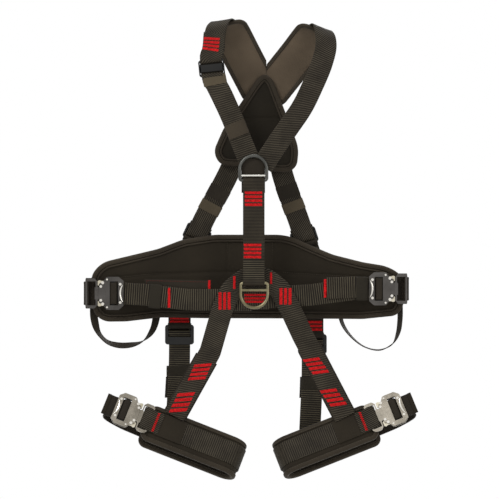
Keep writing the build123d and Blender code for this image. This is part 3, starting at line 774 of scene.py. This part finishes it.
# Each row is a place and the webbing's width direction there.
LEFT_OVER = [
    (30, -14.1, 10, 0.888, 0, 0.46), (9, -14.7, 50, 0.888, 0, 0.46), (-14, -15.5, 94, 0.888, 0, 0.46),
    (-38, -20, 140, 0.888, 0, 0.46), (-57, -31, 178, 0.90, -0.10, 0.40), (-68, -48, 199, 0.92, -0.28, 0.25),
    (-77, -67, 204, 0.93, -0.33, 0.12), (-86, -84, 192, 0.96, -0.20, 0.10), (-92, -92, 166, 1, -0.05, 0.03),
    (-94, -94, 140, 1, 0, 0.08), (-96, -94.5, 124, 1, 0, 0.10),
]
RIGHT_OVER = [
    (-15, -11.2, 10, 0.78, 0, -0.626), (16, -11.9, 48, 0.78, 0, -0.626), (43, -12.5, 82, 0.78, 0, -0.626),
    (86, -18, 136, 0.78, 0, -0.626), (110, -30, 168, 0.80, 0.10, -0.60), (124, -46, 186, 0.84, 0.30, -0.44),
    (132, -62, 190, 0.86, 0.36, -0.32), (138, -78, 178, 0.92, 0.26, -0.20), (141, -91, 150, 0.99, 0.1, -0.12),
    (133, -98, 115, 0.95, 0, -0.28), (113, -101, 66, 0.92, 0, -0.38), (91, -102.5, 21, 0.88, 0, -0.47),
    (62, -103.5, -22, 0.83, 0, -0.56), (36, -104, -60, 0.82, 0, -0.57), (8, -104, -103, 0.82, 0, -0.57),
]
LINING_W = 79.0
LINING_IN = 5.2  # from the webbing's middle to the lining's
LINING_UNDER = 8.2  # the same where the right lining passes under the left webbing
MITRE_X = 17.0
MITRE_GAP = 0.2


def lining_route(rows, under):
    """The lining's middle, inside the webbing, from behind the back pad to over the shoulder."""
    whole = Route(through(rows, 5))
    marks = [whole.nearest(np.linalg.norm(whole.line - rows[i][:3], axis=1), 0) for i in (1, 5, 6)]
    low, high = marks[0], marks[1] * 0.35 + marks[2] * 0.65
    keep = (whole.travel >= low - 1) & (whole.travel <= high + 1)
    face = whole.face[keep]
    inward = np.where((face[:, 1:2] + face[:, 2:3]) < 0, face, -face)
    depth = np.interp(whole.travel[keep], (low + 60, low + 110), (under, LINING_IN))[:, None]
    return Route(np.hstack([whole.line[keep] + inward * depth, whole.across[keep]]))


for label, rows, under, neck in (("left", LEFT_OVER, LINING_IN, 1), ("right", RIGHT_OVER, LINING_UNDER, -1)):
    route = lining_route(rows, under)
    half_w, length = LINING_W / 2, route.length
    corners = [(-half_w, -8), (half_w, -8), (half_w, length), (-20, length), (-half_w, length * 0.66)]
    ring = rounded([(neck * a, b) for a, b in corners], 27)
    pad = f"shoulder_pad_{label}"
    stuffed(f"shoulder_lining_{label}", ring, 5.6, route.place, "lining", "mesh_lining", pad, 3)
    bind(f"shoulder_binding_{label}", ring, 3.0, route.place, 7)


def cut_at_mitre(name, side):
    """Cuts a lining or its binding where the two shoulders meet, and keeps one side of it."""
    mesh = bpy.data.objects[name].data
    work = bmesh.new()
    work.from_mesh(mesh)
    bmesh.ops.bisect_plane(
        work,
        geom=[*work.verts, *work.edges, *work.faces],
        plane_co=((MITRE_X + side * MITRE_GAP) / MM, 0, 0),
        plane_no=(1, 0, 0),
        clear_outer=side < 0,
        clear_inner=side > 0,
    )
    rim = [edge for edge in work.edges if edge.is_boundary]
    if rim:
        bmesh.ops.holes_fill(work, edges=rim, sides=0)
    work.to_mesh(mesh)
    work.free()


for label, side in (("left", -1), ("right", 1)):
    for piece in ("lining_{}", "binding_{}", "binding_{}_stitches_front", "binding_{}_stitches_back"):
        cut_at_mitre("shoulder_" + piece.format(label), side)

mitre = flat_route([(MITRE_X, 112), (MITRE_X, 70)], -20.5)
webbing("shoulder_mitre_binding", mitre, "binding", "pad_fabric", width=7, thick=4)

right_shoulder = Route(through(RIGHT_OVER, 5))
webbing("shoulder_webbing_right", right_shoulder, "twill", nodes=["shoulder_strap_right"])


def spot_facing(node, lean=0.0):
    """Origin and axes of a flat part that faces the front: s up the strap, t across, n out."""
    a = math.radians(lean)
    up, across = (-math.sin(a), 0, math.cos(a)), (math.cos(a), 0, math.sin(a))
    return middle(node), np.array(up), np.array(across), FRONT


def backing(name, spot, depth, reach, width):
    """Dark webbing close behind an adjuster, at places up and down from its middle."""
    webbing(name, turn_route(spot, [(a, -depth) for a in reach], 4), "smooth", width=width)


spot = spot_facing("shoulder_adjuster", 6)
across = spot[2]
round_bar = points_at(spot, [(23.5, -3.4), (15.5, -3.5), (12.9, -2.4), (11.7, 0), (12.9, 2.4), (15.5, 3.6)])
return_leg = [(-96.5, -100.8, 135), (-94, -97.4, 152), (-93, -95.3, 168), (-92.2, -93.6, 176)]
left_rows = np.vstack([LEFT_OVER[:-1], stations(round_bar, across), stations(return_leg, (1, 0, 0.08))])
left_shoulder = Route(through(left_rows, 4))
webbing("shoulder_webbing_left", left_shoulder, "twill_back", nodes=["shoulder_strap_left"])
tack_b = left_shoulder.at_z(153.9, left_shoulder.travel > left_shoulder.length - 48)
bartack("shoulder_bartack", left_shoulder.place, (-4.6, tack_b), (33, 31), 4, side=left_shoulder.front(-3))
backing("shoulder_webbing_behind_adjuster", spot, 3.3, (14, 0, -14), 47)

# The strap below the adjuster, and its folded tail in front.
LOWER = np.array([
    (-96, -94.5, 84, 1, 0, 0.1), (-88, -97, 68, 0.95, 0, 0.3), (-58, -102, 5, 0.93, 0, 0.37),
    (-36, -104, -50, 0.93, 0, 0.37), (-22, -104, -84, 0.93, 0, 0.37),
])
LOW_BAR = [(-15.5, -3.5), (-12.2, -2.6), (-11.4, 0), (-12.2, 2.6), (-15.5, 3.6), (-19.6, 3.0), (-24, 0.8)]
TAIL_FRONT = 2.9
TAIL_END_Z = -38
HEM = 30
HEM_ROW = 27  # its stitches, from the tail's end
low_bar = stations(points_at(spot, LOW_BAR), across)
lower_strap = Route(through(np.vstack([low_bar[3::-1], LOWER]), 3))
webbing("chest_webbing_left", lower_strap, "twill_back", nodes=["shoulder_strap_left_lower"])
tail = Route(through(np.vstack([low_bar[3:], LOWER[1:4] - (0, TAIL_FRONT, 0, 0, 0, 0)]), 3))
tail_end = tail.at_z(TAIL_END_Z)
webbing("chest_tail_left", tail, "twill_back", end=tail_end, width=WEB - 1)
webbing("chest_tail_hem", tail, "hem", width=WEB - 0.4, thick=3.8, start=tail_end - HEM, end=tail_end + 1)
hem_row = [(-20, tail_end - HEM_ROW), (20, tail_end - HEM_ROW)]
stitch_line("chest_tail_stitches", tail.place, hem_row, tail.front() * 2.0)

# ---- Chest: the centre strap between the rings ----

RING_WIRE = 3.4
RING_GAP = 0.05
FOLD_R = RING_WIRE + RING_GAP + WEB_T / 2


def ring_bar(node, up):
    """The middle of a ring's hinge bar; the eye is above it (1) or below (-1)."""
    low, high = (np.array(corner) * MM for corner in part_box(node))
    x, y, _ = (low + high) / 2
    return x, y, low[2] + RING_WIRE if up > 0 else high[2] - RING_WIRE


def fold_round(bar, start, end, parts=8):
    """(y, z) places of a fold round a ring's bar, from one angle to another, in degrees."""
    angles = np.radians(np.linspace(start, end, parts))
    return [(bar[1] + FOLD_R * math.cos(a), bar[2] + FOLD_R * math.sin(a)) for a in angles]


sternal, ventral = ring_bar("sternal_ring", 1), ring_bar("ventral_ring", -1)
dorsal = ring_bar("dorsal_ring", 1)
strap_x = (sternal[0] + ventral[0]) / 2
front_y = sternal[1] - FOLD_R
loop = [(sternal[1] + FOLD_R, -240), (sternal[1] + FOLD_R, -170), *fold_round(sternal, 0, 180)]
loop += [(front_y, -150), (front_y - 0.4, -200), (front_y - 0.5, -270), (front_y, -325)]
loop += [*fold_round(ventral, 180, 360), (ventral[1] + FOLD_R, -310), (ventral[1] + FOLD_R, -242)]
centre_route = route_of([(strap_x, y, z) for y, z in loop], (1, 0, 0), 3)
on_strap_front = centre_route.line[:, 1] < sternal[1] - 3
webbing("centre_webbing", centre_route, "fine_ribs", nodes=["centre_strap"])
rib_start, rib_end = (centre_route.at_z(z, on_strap_front) for z in (-297, -338))
webbing(
    "centre_ribs", centre_route, "ribbed", width=WEB - 0.6, thick=0.9, start=rib_start, end=rib_end, lift=1.35
)
facing = centre_route.front(len(centre_route.face) // 3)
for number, (x, z) in enumerate(((-10.5, -171), (-12.5, -279))):
    centre = (x - strap_x, centre_route.at_z(z, on_strap_front))
    bartack(f"centre_bartack_{number}", centre_route.place, centre, (36, 33), 4, side=facing)

patch = flat_route([(-11, -88), (-11, -158)], -106.4)
webbing("chest_patch_cloth", patch, "smooth", nodes=["chest_patch"], width=WEB + 4, thick=1.2)

# ---- Back: webbing down to the waist ----

dorsal_fold = [(dorsal[1] - FOLD_R, -70), (dorsal[1] - FOLD_R, -40), *fold_round(dorsal, 180, -60, 9)]
dorsal_route = route_of([(0, y, z) for y, z in dorsal_fold], (1, 0, 0), 2)
webbing("dorsal_fold", dorsal_route, "smooth", nodes=["dorsal_ring_fold"], width=43)

TAB_W = 47.4
KEEPER_REACH = 11  # half a rear keeper's length
DOUBLED = (-48, -20)  # the doubled webbing before each rear keeper
REAR_TURN = [
    (24, 3.6), (10, 3.6), (-6, 3.6), (-8.4, 2.6), (-9, 0), (-8.4, -2.6), (-6, -3.6), (8, -3.6), (30, -3.4),
]
WAIST_TAB = [(-56, -3.5), (-20, -3.5), (-13.2, -3.3), (-11.4, 0), (-13.2, 3.4), (-17.4, 3.4), (-21, 0.2)]
# Places down each strap, its adjuster's lean, its keeper's height, its look, and the tabs' CAD node.
REAR = {
    "left": (
        [(-22, -11.2, -13), (-34, -11.2, -44), (-56, -11.4, -99)],
        -25, -188, "twill_back", ["waist_pad_tabs"],
    ),
    "right": ([(33, -14.1, -9), (37, -14.1, -44), (48, -14.3, -105)], 18, -185, "twill", []),
}
for label, (points, lean, keeper_z, look, tabs) in REAR.items():
    spot = spot_facing(f"rear_adjuster_{label}", lean)
    across = spot[2]
    down = stations(points, (0.94, 0, math.copysign(0.34, lean)))
    route = Route(through(np.vstack([down, stations(points_at(spot, REAR_TURN), across)]), 3))
    webbing(f"rear_webbing_{label}", route, look, nodes=[f"rear_strap_{label}"])
    b = route.at_z(keeper_z)
    wrap = {"width": WEB + 2.4, "thick": WEB_T + 2.2, "start": b - KEEPER_REACH, "end": b + KEEPER_REACH}
    webbing(f"rear_keeper_{label}", route, "light_band", "elastic", **wrap)
    wrap = {"width": WEB + 1.6, "thick": WEB_T + 1.8, "start": b + DOUBLED[0], "end": b + DOUBLED[1]}
    webbing(f"rear_doubling_{label}", route, "smooth", **wrap)
    webbing(f"waist_tab_{label}", turn_route(spot, WAIST_TAB, 2), "smooth", nodes=tabs, width=TAB_W)
    backing(f"rear_webbing_behind_{label}", spot, 5.9, (22, 0, -22), 49)

# ---- Waist: pad, belt and belly webbing ----

WAIST_PAD_T = 11.0
WAIST_R = 849.0
WAIST_MID_X = -23.0
WAIST_BACK_Y = -8.0
WAIST_RING = rounded(
    [
        (-93, -246), (60, -246), (116, -271), (156, -288), (219, -304), (268, -312), (293, -326),
        (304, -345), (304, -388), (291, -413), (219, -421), (-110, -420), (-207, -418),
        (-278, -426), (-324, -426), (-345, -408), (-350, -330), (-327, -304), (-211, -276), (-159, -256),
    ],
    FREE_CORNER,
)
# Each seam's path, depth and spread.
WAIST_SEAMS = [
    ([(-318, -338), (-240, -329), (-100, -324), (-36, -323)], 2.2, 3.0),
    ([(18, -322), (110, -328), (200, -333), (290, -338)], 2.2, 3.0),
    ([(-66, -252), (-66, -323)], 1.6, 2.6),
    ([(30, -252), (30, -322)], 1.2, 2.6),
]


def waist_y(x):
    """The y of the waist pad's outer face."""
    return WAIST_BACK_Y - WAIST_R + np.sqrt(WAIST_R**2 - (np.asarray(x, float) - WAIST_MID_X) ** 2)


waist_place = sheet(lambda x: waist_y(x) - WAIST_PAD_T / 2)
stuffed("waist_cushion", WAIST_RING, 9.0, waist_place, "pad", "pad_fabric", "waist_pad", 6, WAIST_SEAMS, 1.4)
bind("waist_binding", WAIST_RING, 5.2, waist_place, 9)
piping("waist_piping", WAIST_RING, 12, 7.0, waist_place)
for number, (path, _, _) in enumerate(WAIST_SEAMS):
    dense = through([(x, 0, z) for x, z in path], 4)[:, [0, 2]]
    stitch_line(f"waist_seam_{number}", waist_place, dense, 6.2, slot="pad_fabric")

LEG_TILT = 21.5
LEG_LEAN = 20.0
LEG_CENTRE = np.array((-134.0, -100.0, -673.0))
LEG_MIRROR_X = 2.0
LEG_RIGHT_RISE = 2.0


def leg_axes(side):
    """The loop's middle and unit vectors u (to the crotch), v (up) and w (to the back)."""
    a, b = math.radians(LEG_TILT), math.radians(LEG_LEAN)
    u = np.array((math.cos(a), 0, -math.sin(a)))
    rise = np.array((math.sin(a), 0, math.cos(a)))
    v = rise * math.cos(b) - FRONT * math.sin(b)
    w = -FRONT * math.cos(b) - rise * math.sin(b)
    if side == "left":
        return LEG_CENTRE, u, v, w
    flip = np.array((-1, 1, 1))
    centre = LEG_CENTRE * flip + (2 * LEG_MIRROR_X, 0, LEG_RIGHT_RISE)
    return centre, u * flip, v * flip, w * flip


LEGS = {side: leg_axes(side) for side in ("left", "right")}
BUCKLES = {"waist_left": (np.array((1.0, 0, 0)), FRONT), "waist_right": (np.array((-1.0, 0, 0)), FRONT)}
BUCKLES.update({f"leg_{side}": (-u, -w) for side, (_, u, _, w) in LEGS.items()})
BAR_AT = 29.0  # the slide bar's middle, from a buckle's own origin
FEMALE_FOLD = [
    (38.9, -5.6), (37.3, -2.6), (36.9, 1.0), (34.8, 3.4), (29.5, 3.6), (25.6, 3.3), (23.9, 1.2),
    (23.9, -1.2), (25.6, -3.5), (30, -4.4), (34.5, -6.8), (39, -8.6),
]
GUARD_BAR = [(-23.4, -5.4), (-23.6, -1.9), (-26.5, -0.9), (-29.6, -2.2), (-30.2, -8), (-30.2, -20)]


def buckle_spot(key):
    """A buckle's own origin, with s into the female half, t across and n outwards."""
    s, n = BUCKLES[key]
    return middle(f"{key}_slide_bar") - s * BAR_AT, s, np.cross(n, s), n


left_spot, right_spot = buckle_spot("waist_left"), buckle_spot("waist_right")
(left_x, _, left_z), (right_x, _, right_z) = left_spot[0], right_spot[0]
BELT_OFF = 1.9  # from the pad's outer face to the belt's middle
belt_line = [
    (x, waist_y(x) + BELT_OFF, np.interp(x, (-350, 304), (left_z, right_z)))
    for x in np.linspace(-338, 292, 60)
]
belt_line = points_at(left_spot, GUARD_BAR) + belt_line + points_at(right_spot, GUARD_BAR)[::-1]
belt_route = route_of(belt_line, (0, 0, 1), 5)
webbing("waist_belt_webbing", belt_route, "ribbed", nodes=["waist_belt"])
SLEEVE = 24
END_HALF = 32
END_Y = -83
length = belt_route.length
for label, begin, end_x, end_z in (("left", 0, -351.5, left_z), ("right", length - SLEEVE, 300.5, right_z)):
    end_lining = flat_route([(end_x, end_z + END_HALF), (end_x, end_z - END_HALF)], END_Y)
    webbing(f"waist_end_lining_{label}", end_lining, "smooth", "pad_fabric", width=20, thick=2)
    wrap = {"width": 49.4, "thick": 3.6, "start": begin, "end": begin + SLEEVE}
    webbing(f"belt_sleeve_{label}", belt_route, "smooth", **wrap)

BELLY_BACK_Y = -88.4
BELLY_FRONT_Y = {"left": -91.1, "right": -92.5}
BELLY_BACK = {
    "left": [(left_x + 40, left_z), (-240, left_z - 3), (-150, -381), (-13, -382)],
    "right": [(right_x - 40, right_z), (200, right_z - 1), (110, -371), (-10, -378)],
}
BELLY_FRONT = {
    "left": [(x, z + 0.5) for x, z in BELLY_BACK["left"]],
    "right": [(right_x - 40, right_z + 0.5), (200, right_z + 3), (143, right_z + 1)],
}
for label, spot in (("left", left_spot), ("right", right_spot)):
    back = flat_route(BELLY_BACK[label], BELLY_BACK_Y, 60)
    webbing(f"belly_webbing_{label}", back, "ribbed", nodes=[f"belly_strap_{label}"])
    front = flat_route(BELLY_FRONT[label], BELLY_FRONT_Y[label], 60)
    webbing(f"belly_webbing_front_{label}", front, "ribbed")
    turn = turn_route(spot, [(46, -6), *FEMALE_FOLD, (46, -8.8)], 1.5)
    webbing(f"buckle_turn_waist_{label}", turn, "smooth")


def standing_tack(name, y, centre, size, rows=1, face=WEB_T / 2):
    bartack(name, upright(y), centre, size, rows, face=face, standing=True)


# The ends of the belly webbing are tacked together inside the lower ring and at each side.
PATCH_Y, FLAP_Y = -93.5, -86.5
webbing("belly_patch", flat_route([(-36, -380), (21, -380)], PATCH_Y), "ribbed", width=WEB - 3, thick=1.4)
bartack("belly_bartack_middle", upright(PATCH_Y), (-7.4, -378), (44, 21), 3, face=0.7)
standing_tack("belly_bartack_left", BELLY_FRONT_Y["left"], (-186.9, -377), (8, 40))
standing_tack("belly_bartack_right", BELLY_FRONT_Y["right"], (139, -357), (8, 38))
webbing("belly_flap", flat_route([(-238, -353), (-102, -356)], FLAP_Y), "smooth", width=30, thick=1.0)
flap_edge = [(-234, -367), (-234, -341), (-106, -344), (-106, -358)]
stitch_line("belly_flap_stitches", upright(FLAP_Y), flap_edge, 0.4, "red_base", width=0.8)
standing_tack("belly_flap_bartack", FLAP_Y, (-103, -352), (7, 22), face=0.5)

# ---- Risers ----

RISER_Y = -96.2
RISERS = {
    "left": [(-9.7, -335), (-26, -336), (-57, -360), (-76, -402), (-101, -490), (-176, -624)],
    "right": [(-8.3, -335), (14, -336), (44, -359), (66, -399), (92, -455), (181, -626)],
}
# Where each riser's doubled part begins, and its look.
for label, doubled_z, look in (("left", -504, "twill"), ("right", -481, "twill_back")):
    route = flat_route(RISERS[label], RISER_Y, 30)
    webbing(f"riser_webbing_{label}", route, look, nodes=[f"riser_{label}"])
    wrap = {"width": WEB + 5, "thick": 1.8, "lift": -2.2 * route.front()}
    wrap.update(start=route.at_z(doubled_z), end=route.length - 3)
    webbing(f"riser_doubling_{label}", route, "smooth", **wrap)

# Rows of these bartacks lie level, and step sideways with the slant of the webbing.
RISER_TACKS = [
    ("left_low", (-159.5, -594.8), (36, 42), 0.56, 4),
    ("left_high", (-122.4, -531.3), (36, 35), 0.5, 4),
    ("right_high", (119.7, -518.9), (34, 37), -0.52, 8),
    ("right_low", (156.2, -584.9), (34, 40), -0.52, 8),
]
for label, centre, size, skew, turn in RISER_TACKS:
    bartack(f"riser_bartack_{label}", upright(RISER_Y), centre, size, 4, turn=turn, skew=skew)
standing_tack("belt_bartack_left", RISER_Y, (-70.9, -383.3), (28.4, 35.7), 3)
standing_tack("belt_bartack_right", RISER_Y, (56.2, -373.8), (28.4, 33.6), 3)
standing_tack("arch_bartack_left", RISER_Y, (-50.5, -345), (7.5, 26))
standing_tack("arch_bartack_right", RISER_Y, (26, -336), (6.5, 23))

# ---- Leg loops ----

LEG_PAD_H = 76.0
LEG_PAD_T = 9.0
LEG_OUT = 31.0
LEG_BEND_U = 76.0
LEG_END_U = -109
LEG_BUCKLE_V = 3.0
LEG_BUCKLE_U = -128.0
LEG_BUCKLE_W = -5.0
LEG_WEB_TURN = [
    (-76, -4.3), (-90, -4.3), (-96, -6.2), (-102, -8.6), (-110, -8.7), (-116, -7.2), (-118.3, -5),
    (-116, -2.9), (-110, -1.6), (-101.5, -1.3),
]
LEG_TAIL = [(-110.3, 63.4), (-160, 56), (-193, 32), (-194, 12), (-174, 3.6)]
LEG_TAIL += [(LEG_BUCKLE_U - s, LEG_BUCKLE_W - n) for s, n in FEMALE_FOLD[::-1]]
LEG_TAIL += [(-176, 1.0), (-190, 1.1), (-202, 0.6)]
COVER_U = (-84, -24)
STITCHED_U = (-24, 74)
ZIG = np.array([(-21.5 + k * 43 / 19, -88 + (3 if k % 2 else -3)) for k in range(20)])


def loop_path(radius, start):
    """(u, w) places round a loop at a radius: along the front, round the crotch, along the back."""
    front = [(u, LEG_OUT - radius) for u in np.linspace(start, LEG_BEND_U, 30)]
    turn = np.radians(np.linspace(-80, 80, 17))
    bend = [(LEG_BEND_U + radius * math.cos(t), LEG_OUT + radius * math.sin(t)) for t in turn]
    back = [(u, LEG_OUT + radius) for u in np.linspace(LEG_BEND_U, LEG_END_U, 30)]
    return front + bend + back


def leg_route(side, path, v_shift, step):
    centre, u, v, w = LEGS[side]
    return route_of([centre + u * a + w * b + v * v_shift for a, b in path], v, step)


for side, (centre, u, v, w) in LEGS.items():
    route = leg_route(side, loop_path(LEG_OUT - LEG_PAD_T / 2, LEG_END_U), 0.0, 4)
    length, half_h = route.length, LEG_PAD_H / 2
    ring = rounded([(-half_h, 0), (half_h, 0), (half_h, length), (-half_h, length)], 16)
    stuffed(f"leg_cushion_{side}", ring, 7.5, route.place, "pad", "pad_fabric", f"leg_pad_{side}", 4)
    bind(f"leg_binding_{side}", ring, 4.3, route.place, 8)

    path = LEG_WEB_TURN + loop_path(LEG_OUT + 0.3 + WEB_T / 2, -92)
    route = leg_route(side, path, LEG_BUCKLE_V, 3)
    webbing(f"leg_webbing_{side}", route, "twill", nodes=[f"leg_web_{side}"], width=47)
    outward = 1 if route.face[-5] @ w > 0 else -1
    local_u, local_w = (route.line - centre) @ u, (route.line - centre) @ w
    along_front = (local_w < 4) & (local_w > -3) & (route.travel > 30)
    start, end = (route.nearest(local_u, target, along_front) for target in COVER_U)
    wrap = {"width": 50, "thick": 1.0, "start": start, "end": end, "lift": outward * 1.75}
    webbing(f"leg_cover_{side}", route, "pad", "pad_fabric", **wrap)
    turns = centre + ZIG[:, 1:] * u + (ZIG[:, :1] + LEG_BUCKLE_V) * v - 6.6 * w
    capsules(f"leg_zigzag_{side}", turns[:-1], turns[1:], -w, 1.5, 0.7, "red")
    start, end = (route.nearest(local_u, target, along_front) for target in STITCHED_U)
    for k, edge in enumerate((-22.5, 22.5)):
        rows = [(edge, start), (edge, end)]
        stitch_line(f"leg_web_stitch_{side}_{k}", route.place, rows, outward * 1.3)

    route = leg_route(side, LEG_TAIL, LEG_BUCKLE_V, 2)
    webbing(f"leg_tail_webbing_{side}", route, "smooth", nodes=[f"leg_tail_{side}"])
    webbing(f"leg_tail_hem_{side}", route, "pad", width=WEB + 1, thick=5.4, start=route.length - 8)

# ---- Rear leg straps ----

REAR_LEG_TURN = [
    (-24, -3.3), (-12, -3.3), (-6.4, -2.8), (-2.6, 0.6), (0.6, 3.4), (4, 3.8), (7.4, 3.2), (8.9, 0),
    (7.4, -3.4), (1, -5.8), (-12, -6.0), (-24, -5.6), (-40, -2.5),
]
LEG_TAB = [(24, -3.5), (15, -3.4), (13.2, 0), (15, 3.6), (21, 3.7), (27, 0.2)]
LEG_TAB_TOP_Z = -400
# Each strap's foot, its tail's shift, and its bartack's rows, height and place above the adjuster.
REAR_LEG = {"left": ((-174, -25.5, -650), -5, 2, 15, 31), "right": ((108, -25.5, -672), -3, 3, 25, 38)}
for side, (foot, shift, rows, height, tack_up) in REAR_LEG.items():
    spot = spot_facing(f"leg_adjuster_{side}")
    z = spot[0][2]
    route = route_of([*points_at(spot, REAR_LEG_TURN), foot], (1, 0, 0), 3)
    webbing(f"rear_leg_webbing_{side}", route, "ribbed", nodes=[f"rear_leg_strap_{side}"])
    wrap = {"start": route.at_z(-546), "end": route.at_z(-592), "shift": shift, "lift": -2.7 * route.front()}
    webbing(f"rear_leg_tail_{side}", route, "smooth", thick=2.2, **wrap)
    if side == "right":
        wrap = {"start": route.at_z(-547), "end": route.at_z(-572), "lift": -1.3 * route.front()}
        webbing("rear_leg_keeper_right", route, "elastic", "elastic", width=WEB + 2.5, thick=6.6, **wrap)
    top = LEG_TAB_TOP_Z - z
    route = turn_route(spot, [(top, -3.5), *LEG_TAB, (top - 2, -0.5)], 2)
    webbing(f"rear_leg_tab_{side}", route, "smooth", width=TAB_W)
    backing(f"rear_leg_behind_{side}", spot, 8.2, (24, 8, -14), 50)
    b = route.at_z(z + tack_up, route.travel > route.length * 0.5)
    bartack(f"rear_leg_bartack_{side}", route.place, (0, b), (40, height), rows, side=route.front(-3))

# ---- Gear loops ----

GEAR_W = 16.0
GEAR = {
    "left": [
        (-346, -61, -385, 1, 0.2, 0), (-345, -62, -420, 1, 0.1, 0.1), (-335, -61, -452, 0.5, 0.8, 0.1),
        (-318, -57, -470, 0.1, 0.9, 0.5), (-297, -50, -477, 0, 0.7, 0.7), (-270, -43, -477, 0, 0.75, 0.65),
        (-244, -37, -469, 0.1, 1, 0.1), (-224, -32, -447, 0.7, 0.7, -0.3), (-216, -27, -420, 1, 0.3, 0),
        (-215, -25, -400, 1, 0, 0),
    ],
    "right": [
        (297, -60, -385, 0.7, -0.7, 0), (297, -60, -425, 0.6, -0.8, 0), (294, -57, -448, 0.5, -0.8, 0.2),
        (282, -53, -474, 0.2, -0.9, 0.3), (258, -46, -487, 0, -1, -0.05), (228, -38, -483, -0.1, -1, 0),
        (198, -31, -462, -0.3, -1, 0), (178, -27, -434, -0.5, -0.9, 0), (170, -24, -400, -0.6, -0.8, 0),
    ],
}
for side, rows in GEAR.items():
    route = Route(through(rows, 4))
    webbing(f"gear_ribbon_{side}", route, "smooth", nodes=[f"gear_loop_{side}"], width=GEAR_W, thick=1.8)

# ---- Elastic keepers ----

KEEPER_TURNS = 48
KEEPER_SECTION = [(-0.5, 0), (-0.5, 1), (-0.3, 1.35), (0.3, 1.35), (0.5, 1), (0.5, 0)]


def squared(value, power):
    return math.copysign(abs(value) ** power, value)


def keeper(name, centre, along, width, depth, length, look="elastic", nodes=()):
    """An elastic band round layers of webbing, gripping them a little at its edges."""
    centre, along = np.array(centre, float), unit(along)
    across = unit(np.cross(along, FRONT))
    points, cloth = [], []
    for t in np.linspace(0, 2 * math.pi, KEEPER_TURNS + 1)[:-1]:
        wide, deep = squared(math.cos(t), 0.22), squared(math.sin(t), 0.4)
        for share, lift in KEEPER_SECTION:
            a, c = wide * (width / 2 + lift), deep * (depth / 2 + lift)
            points.append(centre + across * a + FRONT * c + along * share * length)
            cloth.append((share * length, a))
    faces = skin(KEEPER_TURNS, len(KEEPER_SECTION), ring=True)
    settle(make(name, points, faces, look, cloth), "elastic", *nodes)


keeper("keeper_belly_left", (-216, -89.8, -373.7), (-1, 0, 0.09), 47.5, 6.4, 24, nodes=["elastic_keepers"])
keeper("keeper_belly_right", (216, -90.4, -357.6), (1, 0, 0), 47, 7.4, 24)
keeper("keeper_shoulder", (-91.5, -97.4, 77.5), (0.2, 0, -1), 46.5, 7.4, 20, "light_band")
keeper("keeper_leg_left", (-169.5, -15.7, -534), (0, 0, 1), 47.5, 5.4, 24)

# ---- Hardware: CAD nodes with finished materials ----

SCOOP_AT, SCOOP_R = 79.7, 34.7  # the thumb scoop's circle in a buckle's front plate
SCOOP_LOW = 2.65
SCOOP_HALF, SCOOP_FADE = 31, 33  # degrees
SCOOP_PROFILE = [(2.4, 4.5), (1.6, 5.0), (0.2, 4.9), (-1.0, 4.0), (-1.8, SCOOP_LOW), (2.4, SCOOP_LOW)]


def scoop_lip(key, slot):
    """The polished lip along the scoop's edge in a buckle's front plate."""
    origin, s, t, n = buckle_spot(key)
    angles = np.radians(np.linspace(-SCOOP_HALF, SCOOP_HALF, 33))
    points = []
    for angle in angles:
        share = math.cos(math.radians(90) * abs(angle) / math.radians(SCOOP_FADE)) ** 0.5
        for off, height in SCOOP_PROFILE:
            r = SCOOP_R + off * share
            high = SCOOP_LOW + (height - SCOOP_LOW) * (0.85 + 0.15 * share)
            along, aside = SCOOP_AT - r * math.cos(angle), r * math.sin(angle)
            points.append(origin + s * along + t * aside + n * high)
    settle(make(f"{key}_scoop_lip", points, skin(len(angles), len(SCOOP_PROFILE)), "polished"), slot)


def soften_edges(obj, width):
    """Small rounded edges on a machined or moulded part."""
    weld = obj.modifiers.new("weld", "WELD")
    weld.merge_threshold = 0.00001
    bevel = obj.modifiers.new("bevel", "BEVEL")
    bevel.width = width / MM
    bevel.segments = 2
    bevel.limit_method = "ANGLE"
    bevel.angle_limit = math.radians(40)
    bevel.harden_normals = False
    obj.modifiers.new("normals", "WEIGHTED_NORMAL")


def finish(look, *nodes):
    """Gives CAD nodes their material, and rounds the edges of adjusters and buckles."""
    for node in nodes:
        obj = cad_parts[node]
        obj.data.materials.clear()
        obj.data.materials.append(looks[look])
        if "_adjuster" in node:
            soften_edges(obj, 1.2)
        elif "_buckle_" in node:
            soften_edges(obj, 0.45)


finish("dark_ring", "sternal_ring", "dorsal_ring")
finish("olive_ring", "ventral_ring")
finish("black_plastic", "dorsal_plate", "leg_adjuster_left", "leg_adjuster_right")
finish("black_frame", "shoulder_adjuster", "rear_adjuster_left", "rear_adjuster_right")
finish("polished", "buckle_rivets", "lever_springs")
for key in BUCKLES:
    on_waist = key.startswith("waist")
    scoop_lip(key, "buckle_waist" if on_waist else "buckle_leg")
    finish("gunmetal" if on_waist else "champagne", f"{key}_buckle_body", f"{key}_buckle_tab")
    finish("lever", f"{key}_lever_upper", f"{key}_lever_lower")
    finish("dark_bar", f"{key}_slide_bar")

# ---- Floor ----

FLOOR_Z = -935.0
FLOOR_R = 1250.0
FLOOR_SIDES = 96
turns = 2 * math.pi * np.arange(FLOOR_SIDES) / FLOOR_SIDES
rim = np.stack([FLOOR_R * np.cos(turns), FLOOR_R * np.sin(turns), np.full(FLOOR_SIDES, FLOOR_Z)], -1)
make("floor", rim, [tuple(range(FLOOR_SIDES))], "floor")
